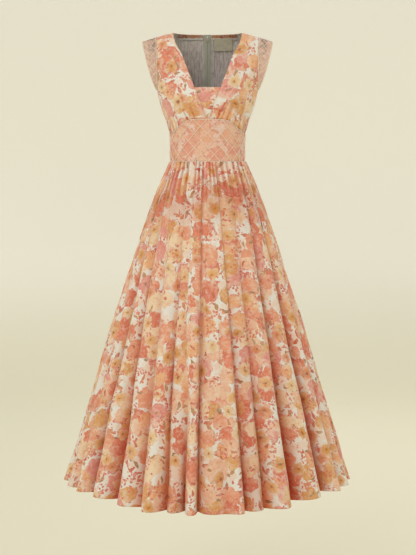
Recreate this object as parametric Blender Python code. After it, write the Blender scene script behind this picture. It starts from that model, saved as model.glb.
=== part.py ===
"""A sleeveless maxi dress in its worn, filled-out shape, open at neck, arms and hem.

Frame: metres in Blender, +Z up, the front faces -Y and +X is the viewer's right.
The origin is level with the neck points and midway between the shoulders, where
the wearer's shoulders carry the dress. All sizes below are in millimetres, and
heights are measured from the neck points. A turn is an angle round the body in
degrees: 0 at the centre front, 90 at the viewer's right side, 180 at the back.
"""

import math

import bpy
import numpy as np
from mathutils.geometry import delaunay_2d_cdt

MM = 0.001

# Cloth and seams
CLOTH = 1.8
SEAM_GAP = 0.3
LACE = 1.2
TAPE = 0.8

# Heights of the main seams and edges
SHOULDER_POINT = -14
UNDERARM = -185
INSET_TOP = -176
V_FOOT = -273
WAIST = -404
HEM = -1421

# Widths from the centre front or back
NECK_POINT = 107
STRAP_OUTER = 160
V_FOOT_HALF = 3.5
INSET_TUCK = 6
INSET_LIFT = 1.8
ZIP_HALF_GAP = 0.8

# Outline of the dress at each height, without its folds
FORM = (
    # height, half width, front depth, back depth
    (WAIST, 117, 92, 84),
    (-380, 118, 93, 85),
    (-350, 118, 97, 88),
    (-317, 119, 102, 92),
    (-300, 124, 106, 95),
    (-274, 131, 111, 99),
    (-250, 141, 116, 103),
    (-212, 152, 118, 107),
    (UNDERARM, 158, 117, 109),
    (-160, 164, 112, 108),
    (-120, 176, 100, 102),
    (-80, 190, 85, 93),
    (-40, 200, 65, 80.5),
    (-26, 204, 58, 75),
    (SHOULDER_POINT, STRAP_OUTER, 53, 70),
    (0, NECK_POINT, 48, 64.5),
)

# Outline of the skirt at each drop below the waist, through the crests of its flutes
FLARE = (
    # drop, half width, front depth, back depth
    (0, 117, 92, 84),
    (30, 131, 104, 97),
    (65, 149, 121, 114),
    (100, 165, 138, 131),
    (130, 177, 152, 145),
    (WAIST - HEM, 459, 420, 420),
)

# The valleys between the flutes, round from the left side over the front to the back
FOLDS = (
    # turn at waist, turn at hem, drop it starts at, depth at hem, set-back of the next crest
    (-84, -80, 0, 50, 0),
    (-77, -68, 300, 26, 0),
    (-69, -55.5, 0, 60, 0),
    (-58, -41, 0, 58, 4),
    (-45, -28.5, 110, 42, 0),
    (-29, -18.5, 0, 46, 18),
    (-17, -10, 560, 50, 0),
    (-6, -2.8, 0, 44, 12),
    (3, 7.8, 560, 22, 6),
    (12, 16.7, 0, 44, 24),
    (30, 25.5, 40, 48, 0),
    (52, 37.5, 0, 70, 2),
    (67, 57, 0, 76, 0),
    (76, 69.5, 280, 26, 0),
    (84, 82, 0, 55, 0),
    (96, 96, 0, 50, 0),
    (109, 110, 130, 58, 0),
    (122, 123.5, 0, 46, 6),
    (135, 138, 0, 64, 0),
    (149, 151, 240, 44, 4),
    (163, 165, 0, 56, 0),
    (197, 194, 0, 58, 0),
    (210, 208, 180, 48, 5),
    (224, 221.5, 0, 62, 0),
    (238, 235.5, 0, 50, 0),
    (251, 250, 320, 42, 4),
    (264, 265, 0, 56, 0),
)
FLUTE_STEPS = (0, 0.13, 0.3, 0.5, 0.7, 0.87)
SKIRT_DROPS = (0, 12, 35, 70, 120, 200, 320, 480, 660, 850, WAIST - HEM)
SIDE_SEAM_FOLDS = (14, 26)
BACK_SEAM_FOLD = 20
HEM_SLIMNESS = 0.2
SLIM_TURNS = (20, 55)
FOLD_GROWTH = 0.9
FLUTE_ROUNDNESS = 0.6
FLUTE_LEAN = 0.35
LEAN_CENTRE = 7
LEAN_SHARPNESS = 8
FOLD_WANDER = 0.7
WANDER_WAVES = 1.3
WANDER_SHIFT = 0.37
GATHER_DEPTH = 4.2
GATHER_SHARE = 0.27
GATHER_CHANGE = (0.22, 2.4)
GATHER_FADE = (22, 150)
PLACKET_TURN = 14
MITRE_LIMIT = 2.0

# The arched seam over the midriff
MIDRIFF_TOP = (
    # turn, height
    (0, -274),
    (20, -274),
    (30, -278),
    (40, -291),
    (50, -301.5),
    (60, -310),
    (70, -316),
    (80, -318.5),
    (90, -319),
    (180, -319),
)
MIDRIFF_STEP = 10
MIDRIFF_ROWS = 5

# Armhole seam: half width of the bodice at each height above the underarm
ARMHOLE = (
    # height, half width
    (UNDERARM, 158),
    (-177, 156.8),
    (-160, 156.2),
    (-60, 156.4),
    (-26, 157.6),
    (SHOULDER_POINT, STRAP_OUTER),
    (0, STRAP_OUTER),
)
STRAP_BLEND = (-80, -34)

# Cups and the gathers under the bust
CUP_RISE = 9
CUP_CENTRE = (78, -208)
CUP_SPREAD = (46, 52)
CUP_FADE = 0.35
ROW_CROWDING = 1.15
FRONT_ROWS = (0, 0.05, 0.12, 0.21, 0.33, 0.45, 0.56, 0.67, 0.78, 0.87, 0.93, 0.97, 1)
GATHER_TURN = 10
UNDERBUST_TURNS = (10, 70)
UNDERBUST_DEPTH = 2.8
UNDERBUST_FADE = 62

# Shirring of the back: upright puckers that fade in the plain band at the neck
BACK_COLUMNS = 24
NECK_COLUMN = 16
BACK_ROWS = (0, 0.13, 0.29, 0.45, 0.58, 0.7, 0.8, 0.87, 0.925, 0.97, 1)
PUCKER_COLUMNS = (2, 22)
PUCKER_DEPTH = 2.0
PUCKER_BAND = (-56, -30)
PUCKER_FADE = 0.8

# Lattice of the lace: half the width and height of one diamond, and the bar between two
LACE_LIFT = 0.8
LACE_BORDER = 4.5
LACE_EDGE = 1.2
LACE_BAR = 3.4
MIDRIFF_DIAMOND = (20.5, 21.7)
TRIM_DIAMOND = (17, 14)
TRIM_CROSSING = 17.5
TRIM_FIRST_CROSSING = 38
TRIM_WIDTH = 47
TRIM_TIP = 3
TRIM_BORDER = 4.5
TRIM_FALL = (0.05, 0.27)
TRIM_FALL_SPAN = (0.35, 1)
TRIM_LEVEL_SPAN = (0.9, 1)
TRIM_ROUNDNESS = 0.9
TRIM_CENTRES = (range(-12, 4), range(-2, 4))
TRIM_FLARE = 0.0025
TRIM_START = 4
SMALLEST_HOLE = 45

# Neck inset, back neck facing and label
INSET_COLUMNS = 9
INSET_ROWS = 5
FACING_GAP = 0.6
FACING_ROWS = 3
FACING_COLUMNS = (2, 14)
LABEL_X = (21, 81)
LABEL_Z = (-50, -10)

# Zip down the centre back
ZIP_DROP = 160
TAPE_WIDTH = 9
TAPE_LIFT = 1.2
TAPE_SINK = 1.5
TAPE_SINK_SPAN = (WAIST + 10, WAIST - 20)
SLIDER_Z = -14
SLIDER_HALF = 6
SLIDER_BODY = (6.4, 2.6)
BRIDGE_THICK = 1.0
BRIDGE_HALF = 3.6
BRIDGE_BAR = 1.1
BRIDGE_CORNER = 0.8
HINGE_LIFT = 1.9
HINGE_ROOM = 1.0
TAB_WIDTH = 5.4
TAB_THICK = 1.0
TAB_LENGTH = 26
TAB_CORNER = 1.6
TAB_WINDOW = (3.2, 5.6)

# Colours
MATERIALS = {
    # name: colour, roughness, metallic
    "printed_cloth": ((0.78, 0.5, 0.38), 0.8, 0),
    "yoke_cloth": ((0.74, 0.5, 0.44), 0.8, 0),
    "lattice_lace": ((0.8, 0.6, 0.58), 0.75, 0),
    "zip_tape": ((0.45, 0.44, 0.4), 0.85, 0),
    "label": ((0.5, 0.49, 0.44), 0.8, 0),
    "zip_metal": ((0.62, 0.6, 0.55), 0.35, 1),
}


def soft_table(rows, at):
    """Read a table of (key, value, ...) rows along a smooth line that never overshoots."""
    rows = np.array(sorted(rows), dtype=float)
    keys, values = rows[:, 0], rows[:, 1:]
    at = np.clip(np.asarray(at, dtype=float), keys[0], keys[-1])
    gaps = np.diff(keys)[:, None]
    slopes = np.diff(values, axis=0) / gaps
    product = slopes[:-1] * slopes[1:]
    total = np.where(product > 0, slopes[:-1] + slopes[1:], 1)
    inner = np.where(product > 0, 2 * product / total, 0)
    tangents = np.vstack([slopes[:1], inner, slopes[-1:]])
    i = np.clip(np.searchsorted(keys, at, side="right") - 1, 0, len(keys) - 2)
    gap = gaps[i]
    t = (at - keys[i])[..., None] / gap
    start = (1 + 2 * t) * (1 - t) ** 2 * values[i] + t * (1 - t) ** 2 * gap * tangents[i]
    end = t * t * (3 - 2 * t) * values[i + 1] + t * t * (t - 1) * gap * tangents[i + 1]
    return start + end


def line_table(rows, at):
    """Read a two-column table along straight lines."""
    rows = np.array(sorted(rows), dtype=float)
    return np.interp(at, rows[:, 0], rows[:, 1])


def ramp(low, high, at):
    """Rise smoothly from 0 at low to 1 at high."""
    t = np.clip((np.asarray(at, dtype=float) - low) / (high - low), 0, 1)
    return t * t * (3 - 2 * t)


def between(low, high, share):
    return low + (high - low) * share


def form_at(height):
    """Half width, front depth and back depth of the form at each height."""
    height = np.asarray(height, dtype=float)
    soft = soft_table(FORM[:-1], height)
    shoulder, neck = FORM[-2:]
    ends = (shoulder[0], neck[0])
    slope = [np.interp(height, ends, (shoulder[k], neck[k])) for k in (1, 2, 3)]
    above = (height > SHOULDER_POINT)[..., None]
    sizes = np.where(above, np.stack(slope, axis=-1), soft)
    return sizes[..., 0], sizes[..., 1], sizes[..., 2]


def form_point(turn, height):
    """Point of the bare form at a turn and a height."""
    turn, height = np.broadcast_arrays(np.radians(turn), np.asarray(height, dtype=float))
    width, front, back = form_at(height)
    depth = np.where(np.cos(turn) > 0, front, back)
    x = width * np.sin(turn)
    y = -depth * np.cos(turn)
    across = (np.abs(x) - CUP_CENTRE[0]) / CUP_SPREAD[0]
    along = (height - CUP_CENTRE[1]) / CUP_SPREAD[1]
    cup = CUP_RISE * np.exp(-across ** 2 - along ** 2) * ramp(0, CUP_FADE, np.cos(turn))
    return np.stack([x, y - cup, height], axis=-1)


def form_normal(turn, height):
    """Outward direction of the form's surface."""
    nudge = 0.05
    turn, height = np.broadcast_arrays(np.asarray(turn, float), np.asarray(height, float))
    height = np.minimum(height, -2 * nudge)
    round_it = form_point(turn + nudge, height) - form_point(turn - nudge, height)
    up_it = form_point(turn, height + nudge) - form_point(turn, height - nudge)
    normal = np.cross(round_it, up_it)
    return normal / np.linalg.norm(normal, axis=-1, keepdims=True)


def turn_of(x, height, behind=False):
    """Turn at which the form reaches x at a height."""
    width = form_at(height)[0]
    turn = np.degrees(np.arcsin(np.clip(x / width, -1, 1)))
    return 180 - turn if behind else turn


def principled(name):
    """One Principled BSDF material of the table above."""
    color, roughness, metallic = MATERIALS[name]
    material = bpy.data.materials.new(name)
    material.use_nodes = True
    shader = material.node_tree.nodes["Principled BSDF"]
    shader.inputs["Base Color"].default_value = (*color, 1)
    shader.inputs["Roughness"].default_value = roughness
    shader.inputs["Metallic"].default_value = metallic
    return material


def add_mesh(name, points, faces, material, smooth=True):
    """Make one named object from points in millimetres."""
    mesh = bpy.data.meshes.new(name)
    mesh.from_pydata([tuple(point * MM) for point in points], [], faces)
    mesh.materials.append(material)
    if smooth:
        mesh.shade_smooth()
        mesh.set_sharp_from_angle(angle=math.radians(45))
    thing = bpy.data.objects.new(name, mesh)
    bpy.context.scene.collection.objects.link(thing)
    return thing


def wall(name, outer, inner, material):
    """Closed wall between two grids of points, the outer side and the inner side."""
    rows, columns = outer.shape[:2]
    count = rows * columns
    points = np.vstack([outer.reshape(-1, 3), inner.reshape(-1, 3)])
    faces = []
    for row in range(rows - 1):
        for column in range(columns - 1):
            a = row * columns + column
            b, c, d = a + 1, a + columns + 1, a + columns
            faces.append((a, b, c, d))
            faces.append((count + d, count + c, count + b, count + a))
    low_edge = list(range(columns))
    right_edge = [row * columns + columns - 1 for row in range(1, rows)]
    high_edge = [count - 1 - step for step in range(1, columns)]
    left_edge = [row * columns for row in range(rows - 2, 0, -1)]
    rim = low_edge + right_edge + high_edge + left_edge
    for here, there in zip(rim, rim[1:] + rim[:1]):
        faces.append((there, here, count + here, count + there))
    edge_a = outer[0, 1] - outer[0, 0]
    edge_b = outer[1, 0] - outer[0, 0]
    inward = inner[0, 0] - outer[0, 0]
    if np.dot(np.cross(edge_a, edge_b), inward) > 0:
        faces = [face[::-1] for face in faces]
    return add_mesh(name, points, faces, material)


def punched_sheet(name, outline, holes, place, material, smooth=True):
    """Flat sheet with holes cut through, laid in space by place(points, side).

    The outline and the holes are loops of plane points. Side 0 is the outer face
    of the sheet and side 1 the inner one.
    """
    plane, loops = [], []
    for loop in [outline] + holes:
        loops.append(list(range(len(plane), len(plane) + len(loop))))
        plane += [tuple(point) for point in loop]
    inside_with_holes = 2
    cut = delaunay_2d_cdt(plane, [], loops, inside_with_holes, 1e-4)
    flat = np.array([tuple(point) for point in cut[0]])
    triangles = [tuple(face) for face in cut[2]]
    count = len(flat)
    points = np.vstack([place(flat, 0), place(flat, 1)])
    used = {(a, b) for t in triangles for a, b in zip(t, t[1:] + t[:1])}
    rim = [(a, b) for a, b in used if (b, a) not in used]
    faces = list(triangles)
    faces += [tuple(count + i for i in reversed(face)) for face in triangles]
    faces += [(b, a, count + a, count + b) for a, b in sorted(rim)]
    a, b, c = (points[i] for i in triangles[0])
    inward = points[count + triangles[0][0]] - a
    if np.dot(np.cross(b - a, c - a), inward) > 0:
        faces = [face[::-1] for face in faces]
    return add_mesh(name, points, faces, material, smooth)


def clip_loop(loop, start, end):
    """Keep the part of a convex loop that lies left of the line from start to end."""
    direction = (end[0] - start[0], end[1] - start[1])

    def side(point):
        return direction[0] * (point[1] - start[1]) - direction[1] * (point[0] - start[0])

    kept = []
    for here, there in zip(loop, loop[1:] + loop[:1]):
        side_here, side_there = side(here), side(there)
        if side_here >= 0:
            kept.append(here)
        if side_here * side_there < 0:
            share = side_here / (side_here - side_there)
            kept.append((between(here[0], there[0], share), between(here[1], there[1], share)))
    return kept


def split_loop(loop, step):
    """Add a point wherever a loop crosses a line of u that is a multiple of step."""
    split = []
    for here, there in zip(loop, loop[1:] + loop[:1]):
        split.append(here)
        low, high = sorted((here[0], there[0]))
        lines = [k * step for k in range(math.ceil(low / step), math.floor(high / step) + 1)]
        lines = [line for line in lines if low + 0.1 < line < high - 0.1]
        for line in lines if here[0] < there[0] else lines[::-1]:
            share = (line - here[0]) / (there[0] - here[0])
            split.append((line, between(here[1], there[1], share)))
    return split


def loop_area(loop):
    return 0.5 * sum(a[0] * b[1] - b[0] * a[1] for a, b in zip(loop, loop[1:] + loop[:1]))


def diamonds(centres, half, low, high, ends):
    """Diamond gaps of a lattice, trimmed to the band between low(u), high(u) and the ends."""
    slant = math.hypot(*half)
    half_u = half[0] - LACE_BAR / 2 * slant / half[1]
    half_v = half[1] - LACE_BAR / 2 * slant / half[0]
    holes = []
    for u, v in centres:
        left, right = u - half_u, u + half_u
        loop = [(left, v), (u, v - half_v), (right, v), (u, v + half_v)]
        loop = clip_loop(loop, (left, low(left)), (right, low(right)))
        loop = clip_loop(loop, (right, high(right)), (left, high(left))) if loop else loop
        loop = clip_loop(loop, (ends[0], 1), (ends[0], 0)) if loop else loop
        loop = clip_loop(loop, (ends[1], 0), (ends[1], 1)) if loop else loop
        if len(loop) > 2 and loop_area(loop) > SMALLEST_HOLE:
            holes.append(loop)
    return holes


def armhole_x(height):
    return soft_table(ARMHOLE, height)[..., 0]


def v_edge_x(height):
    """Half width of the V neck, a straight line from the neck point to its foot."""
    return between(NECK_POINT, V_FOOT_HALF, np.asarray(height) / V_FOOT)


def midriff_top(turn):
    """Height of the arched seam, straight between the midriff's columns."""
    turn = np.abs((np.asarray(turn, dtype=float) + 180) % 360 - 180)
    columns = np.arange(0, 180 + MIDRIFF_STEP, MIDRIFF_STEP)
    return np.interp(turn, columns, line_table(MIDRIFF_TOP, columns))


def shoulder_height(x):
    """Height of the shoulder seam above x, level with the neck points inside them."""
    return SHOULDER_POINT * np.clip((x - NECK_POINT) / (STRAP_OUTER - NECK_POINT), 0, 1)


def bodice_turns(share, height, inner_x, top_x, rise, behind):
    """Turn of a bodice column: even steps round the body, and even steps of x at the straps."""
    arm = np.where(height < UNDERARM, form_at(height)[0], armhole_x(height))
    even_turns = between(turn_of(inner_x, height, behind), turn_of(arm, height, behind), share)
    x = between(inner_x, armhole_x(height), share)
    x = between(x, top_x, rise ** 4)
    return between(even_turns, turn_of(x, height, behind), ramp(*STRAP_BLEND, height))


def front_grid(foot_turns, rows):
    """Turns and heights of the right front bodice, from the turns of its lower edge.

    Also gives the turn at the foot of each point's column and its height over the seam.
    """
    foot_turn, rise = np.meshgrid(foot_turns, rows)
    share = (foot_turn - foot_turns[0]) / (foot_turns[-1] - foot_turns[0])
    low = midriff_top(foot_turn) + SEAM_GAP
    top_x = between(NECK_POINT, STRAP_OUTER, share)
    height = between(low, shoulder_height(top_x), 1 - (1 - rise) ** ROW_CROWDING)
    turn = bodice_turns(share, height, v_edge_x(height), top_x, rise, behind=False)
    turn = np.where(rise == 0, foot_turn, turn)
    return turn, height, foot_turn, height - low


def back_grid(columns, rows):
    """Turns and heights of the right back bodice, and its share at each point."""
    share, rise = np.meshgrid(columns, rows)
    low = midriff_top(180) + SEAM_GAP
    top_x = between(ZIP_HALF_GAP, STRAP_OUTER, share)
    height = between(low, shoulder_height(top_x), 1 - (1 - rise) ** ROW_CROWDING)
    turn = bodice_turns(share, height, ZIP_HALF_GAP, top_x, rise, behind=True)
    return turn, height, share


def underbust(foot_turn, above_seam):
    """Ridges of the gathers under the bust, one for each midriff column, deepest at the seam."""
    start, end = UNDERBUST_TURNS
    inside = (foot_turn > start) & (foot_turn < end)
    ridge = (1 - np.cos(2 * np.pi * (foot_turn - start) / GATHER_TURN)) / 2
    fade = 1 - ramp(0, UNDERBUST_FADE, above_seam)
    return np.where(inside, UNDERBUST_DEPTH * ridge, 0) * fade


def puckers(share, height):
    """Upright ridges of the shirring, deepest below the plain band at the neck."""
    start, end = (column / BACK_COLUMNS for column in PUCKER_COLUMNS)
    count = (PUCKER_COLUMNS[1] - PUCKER_COLUMNS[0]) / 2
    phase = (share - start) / (end - start) * count
    inside = (share > start) & (share < end)
    fade = 1 - PUCKER_FADE * ramp(*PUCKER_BAND, height)
    return np.where(inside, PUCKER_DEPTH * (1 - np.cos(2 * np.pi * phase)) / 2, 0) * fade


def mirrored(points, side):
    return points * np.array([side, 1, 1])


def bodice_fronts(material):
    steps = np.arange(1, 180 / MIDRIFF_STEP + 1) * MIDRIFF_STEP / 2
    foot_turns = np.array([turn_of(V_FOOT_HALF, V_FOOT), *steps])
    turn, height, foot_turn, above_seam = front_grid(foot_turns, np.array(FRONT_ROWS))
    normal = form_normal(turn, height)
    outer = form_point(turn, height) + normal * underbust(foot_turn, above_seam)[..., None]
    outer[-1, :, 1] -= SEAM_GAP / 2
    outer[:, -1, 1] -= np.where(height[:, -1] < UNDERARM, SEAM_GAP / 2, 0)
    inner = outer - normal * CLOTH
    for side, label in ((1, "right"), (-1, "left")):
        wall(f"front_bodice_{label}", mirrored(outer, side), mirrored(inner, side), material)


def bodice_backs(material):
    columns = np.linspace(0, 1, BACK_COLUMNS + 1)
    turn, height, share = back_grid(columns, np.array(BACK_ROWS))
    normal = form_normal(turn, height)
    outer = form_point(turn, height) + normal * puckers(share, height)[..., None]
    outer[-1, NECK_COLUMN:, 1] += SEAM_GAP / 2
    outer[:, -1, 1] += np.where(height[:, -1] < UNDERARM, SEAM_GAP / 2, 0)
    inner = outer - normal * CLOTH
    inner[:, 0, 0] = ZIP_HALF_GAP
    for side, label in ((1, "right"), (-1, "left")):
        wall(f"back_bodice_{label}", mirrored(outer, side), mirrored(inner, side), material)


def neck_inset(material):
    """Straight-topped panel behind the foot of the V, tucked under both V edges."""
    share, rise = np.meshgrid(np.linspace(-1, 1, INSET_COLUMNS), np.linspace(0, 1, INSET_ROWS))
    height = between(V_FOOT + 1, INSET_TOP, rise)
    turn = turn_of(share * (v_edge_x(height) + INSET_TUCK), height)
    normal = form_normal(turn, height)
    outer = form_point(turn, height) - normal * (CLOTH + INSET_LIFT)
    wall("neck_inset", outer, outer - normal * CLOTH, material)


def back_facings(material):
    """Printed strips inside the back neck edge."""
    first, last = FACING_COLUMNS
    columns = np.arange(first, last + 1) / BACK_COLUMNS
    turn, height, _ = back_grid(columns, np.array(BACK_ROWS[-FACING_ROWS:]))
    normal = form_normal(turn, height)
    outer = form_point(turn, height) - normal * (CLOTH + FACING_GAP)
    inner = outer - normal * TAPE
    for side, label in ((1, "right"), (-1, "left")):
        name = f"back_neck_facing_{label}"
        wall(name, mirrored(outer, side), mirrored(inner, side), material)


def neck_label(material):
    """Bare woven label inside the back neck, beside the zip."""
    x, height = np.meshgrid(np.linspace(*LABEL_X, 5), np.linspace(*LABEL_Z, 3))
    turn = turn_of(x, height, behind=True)
    normal = form_normal(turn, height)
    outer = form_point(turn, height) - normal * (CLOTH + TAPE + 2 * FACING_GAP)
    wall("neck_label", outer, outer - normal * TAPE / 2, material)


def midriff_panels(material):
    """The yoke: one front and two backs, level at the waist and arched on top."""
    back_end = 180
    for label, start, end in (
        ("front", -90, 90),
        ("back_right", 90, back_end),
        ("back_left", back_end, 270),
    ):
        turns = np.arange(start, end + MIDRIFF_STEP / 2, MIDRIFF_STEP)
        turn, rise = np.meshgrid(turns, np.linspace(0, 1, MIDRIFF_ROWS + 1))
        height = between(WAIST + SEAM_GAP / 2, midriff_top(turn), rise)
        normal = form_normal(turn, height)
        outer = form_point(turn, height)
        for column, inward in ((0, 1), (-1, -1)):
            part_edge(outer[:, column], turns[column], inward)
        inner = outer - normal * CLOTH
        for column in (0, -1):
            if turns[column] == back_end:
                inner[:, column, 0] = outer[:, column, 0]
        wall(f"midriff_{label}", outer, inner, material)


def part_edge(edge, turn, inward):
    """Draw a panel's edge back from its seam, by more along the zip."""
    if turn == 180:
        edge[:, 0] -= inward * ZIP_HALF_GAP
    else:
        side = 1 if turn == 90 else -1
        edge[:, 1] += inward * side * SEAM_GAP / 2


def midriff_laces(material):
    """Open lattice lying on the yoke, one piece for each panel of it."""
    half_u, half_v = MIDRIFF_DIAMOND
    per_degree = half_u / MIDRIFF_STEP

    def top(u):
        return float(midriff_top(u / per_degree)) - WAIST - LACE_EDGE

    def place(flat, side):
        turn, height = flat[:, 0] / per_degree, WAIST + flat[:, 1]
        normal = form_normal(turn, height)
        return form_point(turn, height) + normal * (LACE_LIFT + LACE * (1 - side))

    for label, start, end in (("front", -90, 90), ("back_right", 90, 180), ("back_left", 180, 270)):
        columns = np.arange(start, end + MIDRIFF_STEP / 2, MIDRIFF_STEP) * per_degree
        edge = LACE_EDGE * (1.5 if 180 in (start, end) else 1)
        first = columns[0] + (edge if start == 180 else LACE_EDGE)
        last = columns[-1] - (edge if end == 180 else LACE_EDGE)
        us = [first, *columns[1:-1], last]
        outline = [(u, LACE_EDGE) for u in us] + [(u, top(u)) for u in reversed(us)]
        steps = range(round(start / MIDRIFF_STEP) - 1, round(end / MIDRIFF_STEP) + 2)
        centres = [(i * half_u, j * half_v) for i in steps for j in range(7) if (i + j) % 2]
        holes = diamonds(
            centres,
            MIDRIFF_DIAMOND,
            lambda u: LACE_EDGE + LACE_BORDER,
            lambda u: top(u) - LACE_BORDER,
            (first + LACE_BORDER, last - LACE_BORDER),
        )
        holes = [split_loop(hole, half_u) for hole in holes]
        punched_sheet(f"midriff_lace_{label}", outline, holes, place, material)


def armhole_seam(behind):
    """Points of the right armhole seam, at the rows of the bodice piece that it edges."""
    rows = np.array(BACK_ROWS if behind else FRONT_ROWS)
    if behind:
        turn, height, _ = back_grid(np.array([1.0]), rows)
    else:
        foot_turns = np.array([turn_of(V_FOOT_HALF, V_FOOT), 90])
        turn, height = (grid[:, -1:] for grid in front_grid(foot_turns, rows)[:2])
    seam = form_point(turn, height)[:, 0]
    return seam[height[:, 0] > UNDERARM + TRIM_START]


def trim_place(seam, along, behind):
    """Lay plane points (along the seam, out from it) on the crescent of the right armhole."""
    depth_sign = 1 if behind else -1
    seam_way = np.gradient(seam, along, axis=0)
    least_fall, most_fall = TRIM_FALL
    level = np.array([most_fall, 0, 1]) / math.hypot(most_fall, 1)

    def at_seam(values, u):
        return np.stack([np.interp(u, along, values[:, k]) for k in range(3)], axis=-1)

    def place(flat, side):
        u, v = flat[:, 0], flat[:, 1]
        start = at_seam(seam, u)
        fall = least_fall + most_fall * ramp(*TRIM_FALL_SPAN, u / along[-1])
        outward = np.stack([np.ones_like(u), TRIM_FLARE * start[:, 1], -fall], axis=-1)
        outward /= np.linalg.norm(outward, axis=1, keepdims=True)
        normal = np.cross(outward, at_seam(seam_way, u)) * -depth_sign
        normal /= np.linalg.norm(normal, axis=1, keepdims=True)
        normal = between(normal, level, ramp(*TRIM_LEVEL_SPAN, u / along[-1])[:, None])
        normal /= np.linalg.norm(normal, axis=1, keepdims=True)
        points = start + outward * (v[:, None] + SEAM_GAP)
        points[:, 1] += depth_sign * SEAM_GAP / 2 * (u > along[-1] - SEAM_GAP)
        return points - normal * ((CLOTH - LACE) / 2 + LACE * side)

    return place


def armhole_trims(material):
    """Crescents of lattice that stand out from the armholes, widest at the shoulder."""
    for behind, face_word in ((False, "front"), (True, "back")):
        seam = armhole_seam(behind)
        along = np.concatenate([[0], np.cumsum(np.linalg.norm(np.diff(seam, axis=0), axis=1))])
        length = along[-1]
        place = trim_place(seam, along, behind)

        def edge_at(u, length=length):
            rise = math.sin(math.pi / 2 * min(max(u / length, 0), 1)) ** TRIM_ROUNDNESS
            return between(TRIM_TIP, TRIM_WIDTH, rise)

        outline = [(u, 0) for u in along] + [(u, edge_at(u)) for u in reversed(along)]
        half_u, half_v = TRIM_DIAMOND
        centres = [
            (length - TRIM_FIRST_CROSSING + i * half_u, TRIM_CROSSING + j * half_v)
            for i in TRIM_CENTRES[0]
            for j in TRIM_CENTRES[1]
            if (i + j) % 2
        ]
        holes = diamonds(
            centres,
            TRIM_DIAMOND,
            lambda u: TRIM_BORDER,
            lambda u: edge_at(u) - TRIM_BORDER,
            (TRIM_BORDER, length - TRIM_BORDER),
        )
        for side_x, label in ((1, "right"), (-1, "left")):

            def place_side(flat, side, side_x=side_x, place=place):
                return mirrored(place(flat, side), side_x)

            name = f"armhole_trim_{face_word}_{label}"
            punched_sheet(name, outline, holes, place_side, material)


def skirt_ring(drop, steps):
    """Outer points of the whole skirt at one drop below the waist, flute after flute."""
    sizes = soft_table(FLARE, drop)
    fall = drop / (WAIST - HEM)
    hem_pull = fall * FLARE[-1][1] / sizes[0]
    bow = 4 * fall * (1 - fall)
    gather_fade = 1 - float(ramp(*GATHER_FADE, drop))
    points = []
    for number, fold in enumerate(FOLDS):
        after = FOLDS[(number + 1) % len(FOLDS)]
        lap = 360 if number == len(FOLDS) - 1 else 0
        near_depth, far_depth = fold_depth(fold, drop), fold_depth(after, drop)
        half_gather = math.radians(after[0] + lap - fold[0]) / 2 * sizes[0]
        gather = min(GATHER_DEPTH, GATHER_SHARE * half_gather) * gather_fade
        change, pace = GATHER_CHANGE
        gather *= 1 - change * (1 - math.sin(pace * number))
        wander = FOLD_WANDER * bow
        wander *= math.sin(2 * math.pi * (WANDER_WAVES * fall + WANDER_SHIFT * number))
        for share in steps:
            at_waist = between(fold[0], after[0] + lap, share)
            at_hem = between(fold[1], after[1] + lap, share)
            turn = between(at_waist, at_hem, hem_pull) + wander * (1 - share)
            crest = math.sin(math.pi * share) ** FLUTE_ROUNDNESS if share else 0
            dip = (1 - crest) * between(near_depth, far_depth, share)
            dip += fold[4] * fall * math.sin(math.pi * share)
            from_placket = ((turn - 180) / PLACKET_TURN) ** 2
            ripple = gather * math.cos(4 * math.pi * share) * (1 - math.exp(-from_placket))
            slim = HEM_SLIMNESS * fall * slim_share(turn)
            points.append(flute_point(turn, drop, sizes, dip, ripple, slim))
    return np.array(points)


def fold_depth(fold, drop):
    """Depth of a valley at a drop: none above its start, then growing to the hem."""
    start, depth = fold[2], fold[3]
    grown = max(0, (drop - start) / (WAIST - HEM - start))
    return depth * grown ** FOLD_GROWTH


def slim_share(turn):
    """How much the hem's outline is slimmed at a turn: not at front and back, most at the sides."""
    from_middle = math.degrees(math.asin(abs(math.sin(math.radians(turn)))))
    return float(ramp(*SLIM_TURNS, from_middle))


def flute_point(turn, drop, sizes, dip, ripple, slim):
    """Point of the skirt, dipped in from the outline and leaning under the nearer crest."""
    width, front, back = sizes
    angle = math.radians(turn)
    depth = (front if math.cos(angle) > 0 else back) * (1 - slim)
    x, y = width * math.sin(angle), -depth * math.cos(angle)
    normal = np.array([math.sin(angle) / width, -math.cos(angle) / depth])
    normal /= np.linalg.norm(normal)
    along = np.array([-normal[1], normal[0]])
    side = math.tanh(LEAN_SHARPNESS * math.sin(angle + math.radians(LEAN_CENTRE)))
    lean = -FLUTE_LEAN * dip * math.cos(angle) * side
    flat = np.array([x, y]) - normal * (dip + ripple) + along * lean
    return np.array([flat[0], flat[1], WAIST - SEAM_GAP / 2 - drop])


def ring_normals(rings):
    """Mitred outward directions of a stack of closed rings."""
    ahead = np.roll(rings, -1, axis=1) - rings
    rise = np.empty_like(rings)
    rise[1:-1] = rings[:-2] - rings[2:]
    rise[0] = rings[0] - rings[1]
    rise[-1] = rings[-2] - rings[-1]
    facing = np.cross(ahead, rise)
    facing /= np.linalg.norm(facing, axis=-1, keepdims=True)
    behind = np.roll(facing, 1, axis=1)
    normal = facing + behind
    normal /= np.linalg.norm(normal, axis=-1, keepdims=True)
    mitre = 1 / np.maximum(np.sum(normal * facing, axis=-1, keepdims=True), 1 / MITRE_LIMIT)
    return normal * mitre


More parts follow.
